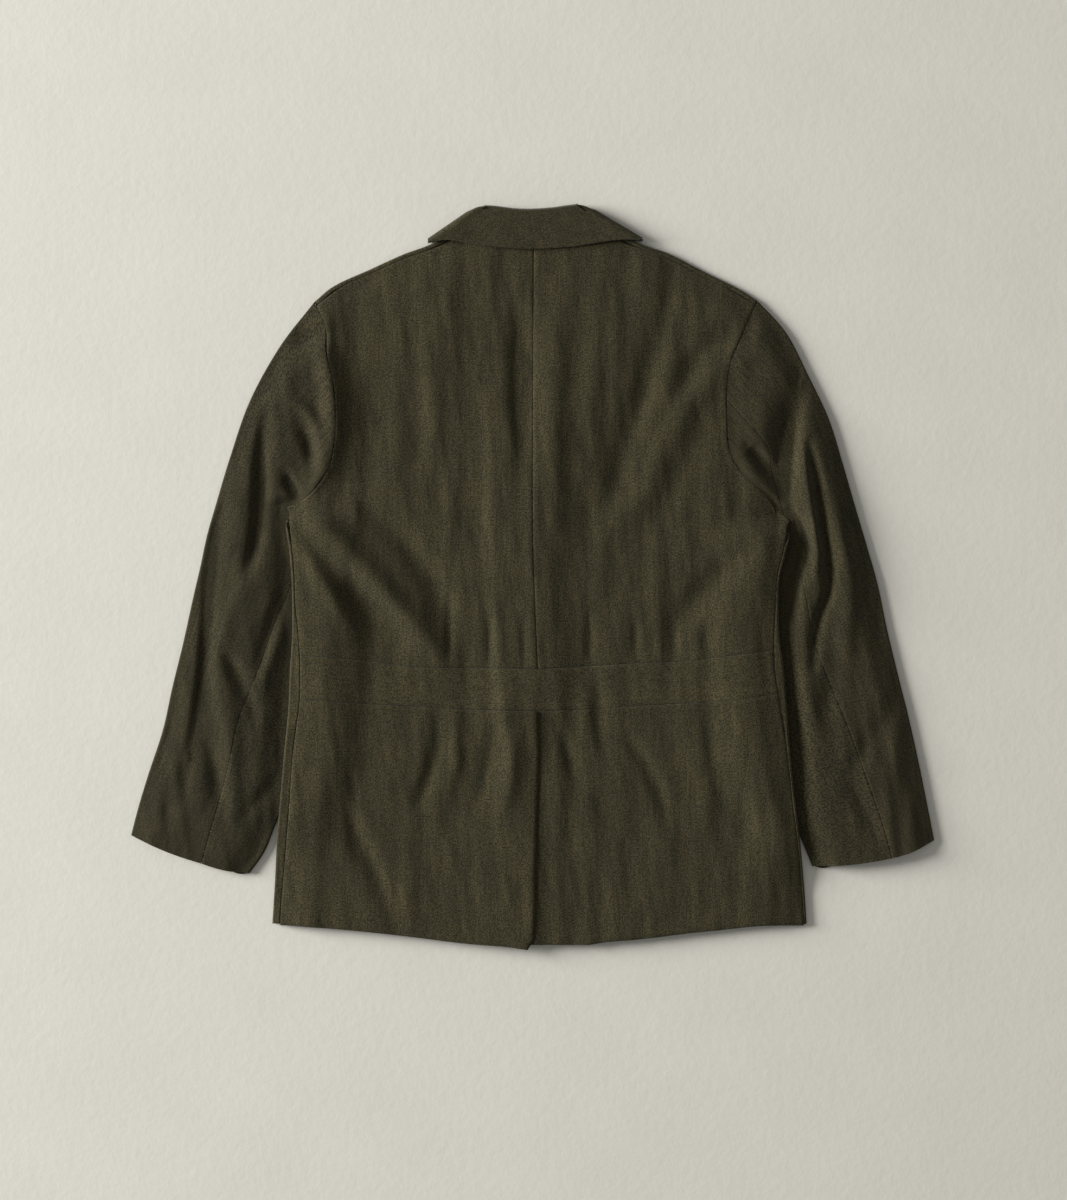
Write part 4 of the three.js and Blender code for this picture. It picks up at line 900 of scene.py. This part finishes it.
def back_upper(side):
    """One upper back panel, between the band, the centre seam, the shoulder and the armhole."""
    armpit_y = ARMHOLE[side][-1][1]
    foot_y = float(band_top(side_seam[side](-85))) + SEAM
    shoulder = shifted(shoulder_line[side], -side * (SHOULDER_SEAM + SEAM))

    def shoulder_point(t):
        x, y = shoulder(t)
        return float(x), float(y) - NECK_EASE * (1 - float(smooth(t / 0.45)))

    hole = shifted(stretch(armhole[side], shoulder_point(1), ARMHOLE[side][-1]), -side * 0.3)
    side_points = [(float(side_seam[side](y)) - side * SEAM, y)
                   for y in (foot_y, -60, -30, 0, 30, armpit_y - 16, armpit_y - 5)]
    hole_points = [tuple(hole(t)) for t in (0.995, 0.96, 0.9, 0.82, 0.72, 0.6, 0.48, 0.36, 0.24, 0.12, 0)]
    outer = curve(side_points + hole_points)

    def centre(t):
        y = mix(float(band_top(0)) + SEAM, NECK_TOP, t)
        return np.stack([seam_x(y) + side * SEAM, y], -1)

    def foot(t):
        x = mix(outer(np.array([0.0]))[0, 0], centre(np.array([0.0]))[0, 0], t)
        return np.stack([x, band_top(x) + SEAM], -1)

    neck = centre(np.array([1.0]))[0]
    head = curve([tuple(outer(1.0)), *[shoulder_point(t) for t in (0.8, 0.6, 0.4, 0.2, 0.04)],
                  (neck[0] + side * NECK_TURN, NECK_TOP + 2), tuple(neck)])
    us, vs = stations(BACK_GRID[0], GRID_STEP), stations(BACK_GRID[1], 2.4)
    x, y = patch(foot, head, outer, centre, us, vs)
    points = np.stack([x, y, body_top(x, y)], -1)
    points = dress_edges(points, left=SEAM_EDGE, right=SEAM_EDGE, bottom=SEAM_EDGE, top=SHOULDER_EDGE)
    word = "left" if side < 0 else "right"
    piece = shell(f"{word}_back", points, -side, CLOTH, np.stack([x, y], -1), body_twill)
    fit(piece, f"back_upper_{word}")


back_upper(-1)
back_upper(1)

# The waist band: a curved strip, cut across the cloth and set in between the upper back and the
# skirts.
CROSS_SLUB = 0.009
BAND_GRID = (524, 47)
band_twill = twill("twill of the band", CROSS_SLUB, 1.07)


def waist_band():
    """The band, between its two seams, from one side seam to the other."""
    start_x = float(side_seam[-1](-110)) + SEAM
    end_x = float(side_seam[1](-110)) - SEAM

    def line(read, shift):
        def points(t):
            x = mix(start_x, end_x, t)
            return np.stack([x, read(x) + shift], -1)
        return points

    def edge(side, x):
        def points(t):
            y = mix(float(band_bottom(x)) + SEAM, float(band_top(x)) - SEAM, t)
            return np.stack([side_seam[side](y) - side * SEAM, y], -1)
        return points

    us, vs = stations(BAND_GRID[0], GRID_STEP), stations(BAND_GRID[1], 1.7)
    x, y = patch(line(band_bottom, SEAM), line(band_top, -SEAM), edge(-1, start_x), edge(1, end_x), us, vs)
    points = np.stack([x, y, body_top(x, y)], -1)
    points = dress_edges(points, left=SEAM_EDGE, right=SEAM_EDGE, bottom=SEAM_EDGE, top=SEAM_EDGE)
    piece = shell("band", points, 1, CLOTH, np.stack([y, x], -1), band_twill)
    fit(piece, "waist_band")


waist_band()

# The two skirts of the back, from the band to the hem. The left one laps over the right one at the
# vent in the middle, whose edge is turned in and pressed, as the hem is.
VENT_EDGE = [(5, -147), (6, -201), (4.4, -245), (2.6, -325), (0.3, -395), (-6, -410.3)]
VENT_UNDERLAP = 42
VENT_LIFT = CLOTH + REST_GAP
VENT_RAMP = 26
SKIRT_GRID = (285, 255)
vent_x = column(VENT_EDGE, 1, 0)


def skirt(side):
    """One skirt. The right one runs on under the left one, which is lifted over it."""

    def hem_line(x):
        return hem(x) if side < 0 else np.maximum(hem(x), RIGHT_VENT_HEM)

    def head_line(x):
        return band_bottom(x) - SEAM

    def outer_x(y):
        return side_seam[side](y) - side * (SEAM + 0.1)

    def inner_x(y):
        return vent_x(y) - (VENT_UNDERLAP if side > 0 else 0)

    def down(read, far_y, near_y):
        low, high = float(hem_line(read(far_y))), float(head_line(read(near_y)))

        def points(t):
            y = mix(low, high, t)
            return np.stack([read(y), y], -1)
        return points

    outer = down(outer_x, -380.0, -130.0)
    inner = down(inner_x, -400.0, -150.0)

    def between(read, end):
        def points(t):
            x = mix(outer(np.array([end]))[0, 0], inner(np.array([end]))[0, 0], t)
            return np.stack([x, read(x)], -1)
        return points

    us, vs = (stations(length, GRID_STEP) for length in SKIRT_GRID)
    x, y = patch(between(hem_line, 0.0), between(head_line, 1.0), outer, inner, us, vs)
    beyond_underlap = smooth((vent_x(y) - VENT_UNDERLAP - 4 - x) / VENT_RAMP)
    lift = VENT_LIFT * (1 - beyond_underlap) if side < 0 else 0
    points = np.stack([x, y, body_top(x, y) + lift], -1)
    points = dress_edges(points, left=SEAM_EDGE, right=TURNED_EDGE, bottom=TURNED_EDGE, top=SEAM_EDGE)
    word = "left" if side < 0 else "right"
    piece = shell(f"{word}_skirt", points, -side, CLOTH, np.stack([x, y], -1), body_twill)
    fit(piece, f"skirt_{word}")


skirt(1)
skirt(-1)

# The collar. The stand is sewn into the neck; the fall turns over it at the roll and lies on the
# back, and its ends run on round the neck under the fronts.
COLLAR_TOP = [(-62, 408.5), (-45, 408), (-20, 405), (0, 404.6), (20, 406), (42, 409), (57, 410)]
COLLAR_EDGE = [(-121, 368), (-92, 369.5), (-60, 364.5), (-10, 360), (40, 362), (92, 369.5), (125, 370)]
# Its round corners: the middle, the radius, and the range of directions in degrees.
COLLAR_CORNERS = [
    ((-51.5, 373.5), 35, 90, 125),
    ((46.5, 375), 35, 55, 90),
    ((-113.3, 370.6), 2.4, 125, 272),
    ((117.3, 372.6), 2.4, 268, 415),
]
CORNER_FADE = 9
CORNER_SOFTNESS = 0.1
COLLAR_END = {-1: ((-40, 318), (-96, 298)), 1: ((36, 320), (98, 300))}
COLLAR_TOP_HEIGHT = 12.6
COLLAR_GRAIN = (330, 60)
STAND_FOOT = [(-66, 385.5), (-40, 376), (0, 373), (40, 376), (66, 387)]
STAND_HEAD = [(-50, 398), (0, 398), (48, 400)]
collar_twill = twill("twill of the collar", CROSS_SLUB, 0.95)


def collar_stand():
    """The stand, from the neck seam to the roll."""
    foot, head = curve(STAND_FOOT), curve(STAND_HEAD)
    low, high = (line(np.array([0.0, 1.0])) for line in (foot, head))

    def end(number):
        return lambda t: mix(low[number], high[number], t[:, None])

    x, y = patch(foot, head, end(0), end(1), np.linspace(0, 1, 60), np.linspace(0, 1, 12))
    points = np.stack([x, y, body_top(x, y)], -1)
    piece = shell("stand", points, 1, CLOTH, np.stack([x, y], -1), collar_twill)
    fit(piece, "collar_stand")


def round_corners(points):
    """Draws the points that lie beyond the collar's round corners in to their circles."""
    for place, radius, first, last in COLLAR_CORNERS:
        away = points[..., :2] - place
        distance = np.linalg.norm(away, axis=-1)
        turned = np.degrees(np.arctan2(away[..., 1], away[..., 0])) % 360
        soft = radius * CORNER_SOFTNESS
        beyond = np.maximum(0, distance - radius + soft)
        rounded = radius - soft * np.exp(-beyond / soft)
        in_range = smooth((turned - first) / CORNER_FADE) * smooth((last - turned) / CORNER_FADE)
        pull = mix(1, rounded / np.maximum(distance, 1e-6), in_range * (beyond > 0))
        points[..., :2] = place + away * pull[..., None]


def collar_fall():
    """The fall: its hidden ends, the folds at its slanting ends, and what shows, up to the roll."""
    leaf, roll = curve(COLLAR_EDGE), curve(COLLAR_TOP)
    radius = COLLAR_TOP_HEIGHT / 2
    under_share, fold_share, turn_share, fold_blend = 0.12, 0.08, 0.25, 0.12
    fold_end = under_share + fold_share
    ends = [(leaf(float(s)), roll(float(s))) for s in (0, 1)]
    outward = []
    for facing, (a, b) in zip((-1, 1), ends):
        rise = abs(b[1] - a[1]) / np.linalg.norm(b - a)
        outward.append(np.array([facing / rise, 0.0]))

    under_us, fold_us = np.linspace(0, under_share, 8), np.linspace(under_share, fold_end, 14)
    middle_us = np.linspace(fold_end, 1 - fold_end, 100)
    us = np.concatenate([under_us, fold_us[1:], middle_us[1:], 1 - fold_us[-2::-1], 1 - under_us[-2::-1]])
    flat_share = 1 - turn_share
    vs = np.concatenate([stations(48, 1.6)[:-5] * flat_share, np.linspace(flat_share, 1, 10)])
    u, v = np.meshgrid(us, vs)
    share = np.minimum(1, v / flat_share)
    angle = np.maximum(0, (v - flat_share) / turn_share) * np.pi / 2
    ahead, sunk = radius * np.sin(angle), radius * (1 - np.cos(angle))
    number = np.where(u < 0.5, 0, 1)
    w = np.where(u < 0.5, u, 1 - u)
    start, end = (np.array([ends[0][k], ends[1][k]])[number] for k in (0, 1))
    n = np.array(outward)[number]
    length = np.linalg.norm(end - start, axis=-1)
    t = ((share * (length - radius) + ahead) / length)[..., None]
    inset = (radius - sunk)[..., None]
    turn = mix(start, end, t) - n * inset
    hidden_roll = np.array([COLLAR_END[-1][0], COLLAR_END[1][0]], float)[number]
    hidden_edge = np.array([COLLAR_END[-1][1], COLLAR_END[1][1]], float)[number]
    tip = mix(hidden_edge, hidden_roll, t)
    under = np.concatenate([mix(tip, turn, (w / under_share)[..., None]), sunk[..., None]], -1)
    phi = np.pi * np.clip((w - under_share) / fold_share, 0, 1)
    reach = ((radius - sunk) * np.sin(phi))[..., None]
    fold = np.concatenate([turn + n * reach, (radius - (radius - sunk) * np.cos(phi))[..., None]], -1)
    s = np.clip((u - fold_end) / (1 - 2 * fold_end), 0, 1)
    left, right = ((1 - smooth(away / fold_blend))[..., None] for away in (s, 1 - s))
    across = mix(leaf(s), roll(s), t) - (outward[0] * left + outward[1] * right) * inset
    over = np.concatenate([across, (COLLAR_TOP_HEIGHT - sunk)[..., None]], -1)
    hidden = np.where((w < under_share)[..., None], under, fold)
    points = np.where((w < fold_end)[..., None], hidden, over)
    round_corners(points)
    points[..., 2] += np.where(w >= fold_end, ripples(points[..., 0] * 0.5, points[..., 1] * 2) * 0.5, 0)
    grain = np.stack([u * COLLAR_GRAIN[0], v * COLLAR_GRAIN[1]], -1)
    piece = shell("fall", points, 1, COLLAR_CLOTH, grain, collar_twill)
    fit(piece, "collar_fall")


collar_stand()
collar_fall()

# The table top that the jacket lies on, in pale plaster, and the soft light of a high window on the
# left.
PLASTER_SHADE = (0.611, 0.592, 0.546, 1)
PLASTER_LIGHT = (0.702, 0.683, 0.638, 1)
CLOUD_SIZE = (0.10, 0.10, 0.10)
GRIT_SIZE = (0.010, 0.010, 0.010)
FLOOR_SIZE = 12
FLOOR_DROP = 0.0003
WINDOW_PLACE = (-7.6, 1.6, 2.4)
WINDOW_SIZE = 3.7
WINDOW_POWER = 1510
DAYLIGHT = (1.0, 0.998, 0.955)
ROOM_LIGHT = (1.0, 0.998, 0.95, 1)
ROOM_STRENGTH = 0.30
plaster = Finish("plaster")
plaster_place = plaster.node("ShaderNodeTexCoord", {}, {}, 3)
plaster_cloud = plaster.noise(plaster_place, CLOUD_SIZE, 5.0)
plaster_grit = plaster.noise(plaster_place, GRIT_SIZE, 4.0)
plaster_colour = plaster.blend(plaster_cloud * 0.7 + plaster_grit * 0.3, PLASTER_SHADE, PLASTER_LIGHT)
plaster_bump = plaster.node("ShaderNodeBump", {},
                            {"Strength": 0.25, "Distance": 0.001, "Height": plaster_grit})
plaster_paint = plaster.surface(plaster_colour, 0.9, plaster_bump, 0.0)
bpy.ops.mesh.primitive_plane_add(size=FLOOR_SIZE, location=(0, 0, -FLOOR_DROP))
floor = bpy.context.object
floor.name = "floor"
floor.data.materials.append(plaster_paint)

window_light = bpy.data.lights.new("window", "AREA")
window_light.shape = "DISK"
window_light.size = WINDOW_SIZE
window_light.energy = WINDOW_POWER
window_light.color = DAYLIGHT
window = bpy.data.objects.new("window", window_light)
window.location = WINDOW_PLACE
window.rotation_euler = Vector(WINDOW_PLACE).to_track_quat("Z", "Y").to_euler()
bpy.context.scene.collection.objects.link(window)
room = bpy.data.worlds.new("room")
bpy.context.scene.world = room
room.use_nodes = True
background = room.node_tree.nodes["Background"]
background.inputs["Color"].default_value = ROOM_LIGHT
background.inputs["Strength"].default_value = ROOM_STRENGTH
bpy.context.scene.view_settings.view_transform = "Standard"

# The camera looks straight down, as in the photograph.
VIEW_CENTRE = (0.0006, -0.0253)
VIEW_HEIGHT = 1.320
LENS = 100
SENSOR = 36
camera_data = bpy.data.cameras.new("camera")
camera_data.lens = LENS
camera_data.sensor_width = SENSOR
camera = bpy.data.objects.new("camera", camera_data)
camera.location = (*VIEW_CENTRE, VIEW_HEIGHT * LENS / SENSOR)
bpy.context.scene.collection.objects.link(camera)
bpy.context.scene.camera = camera
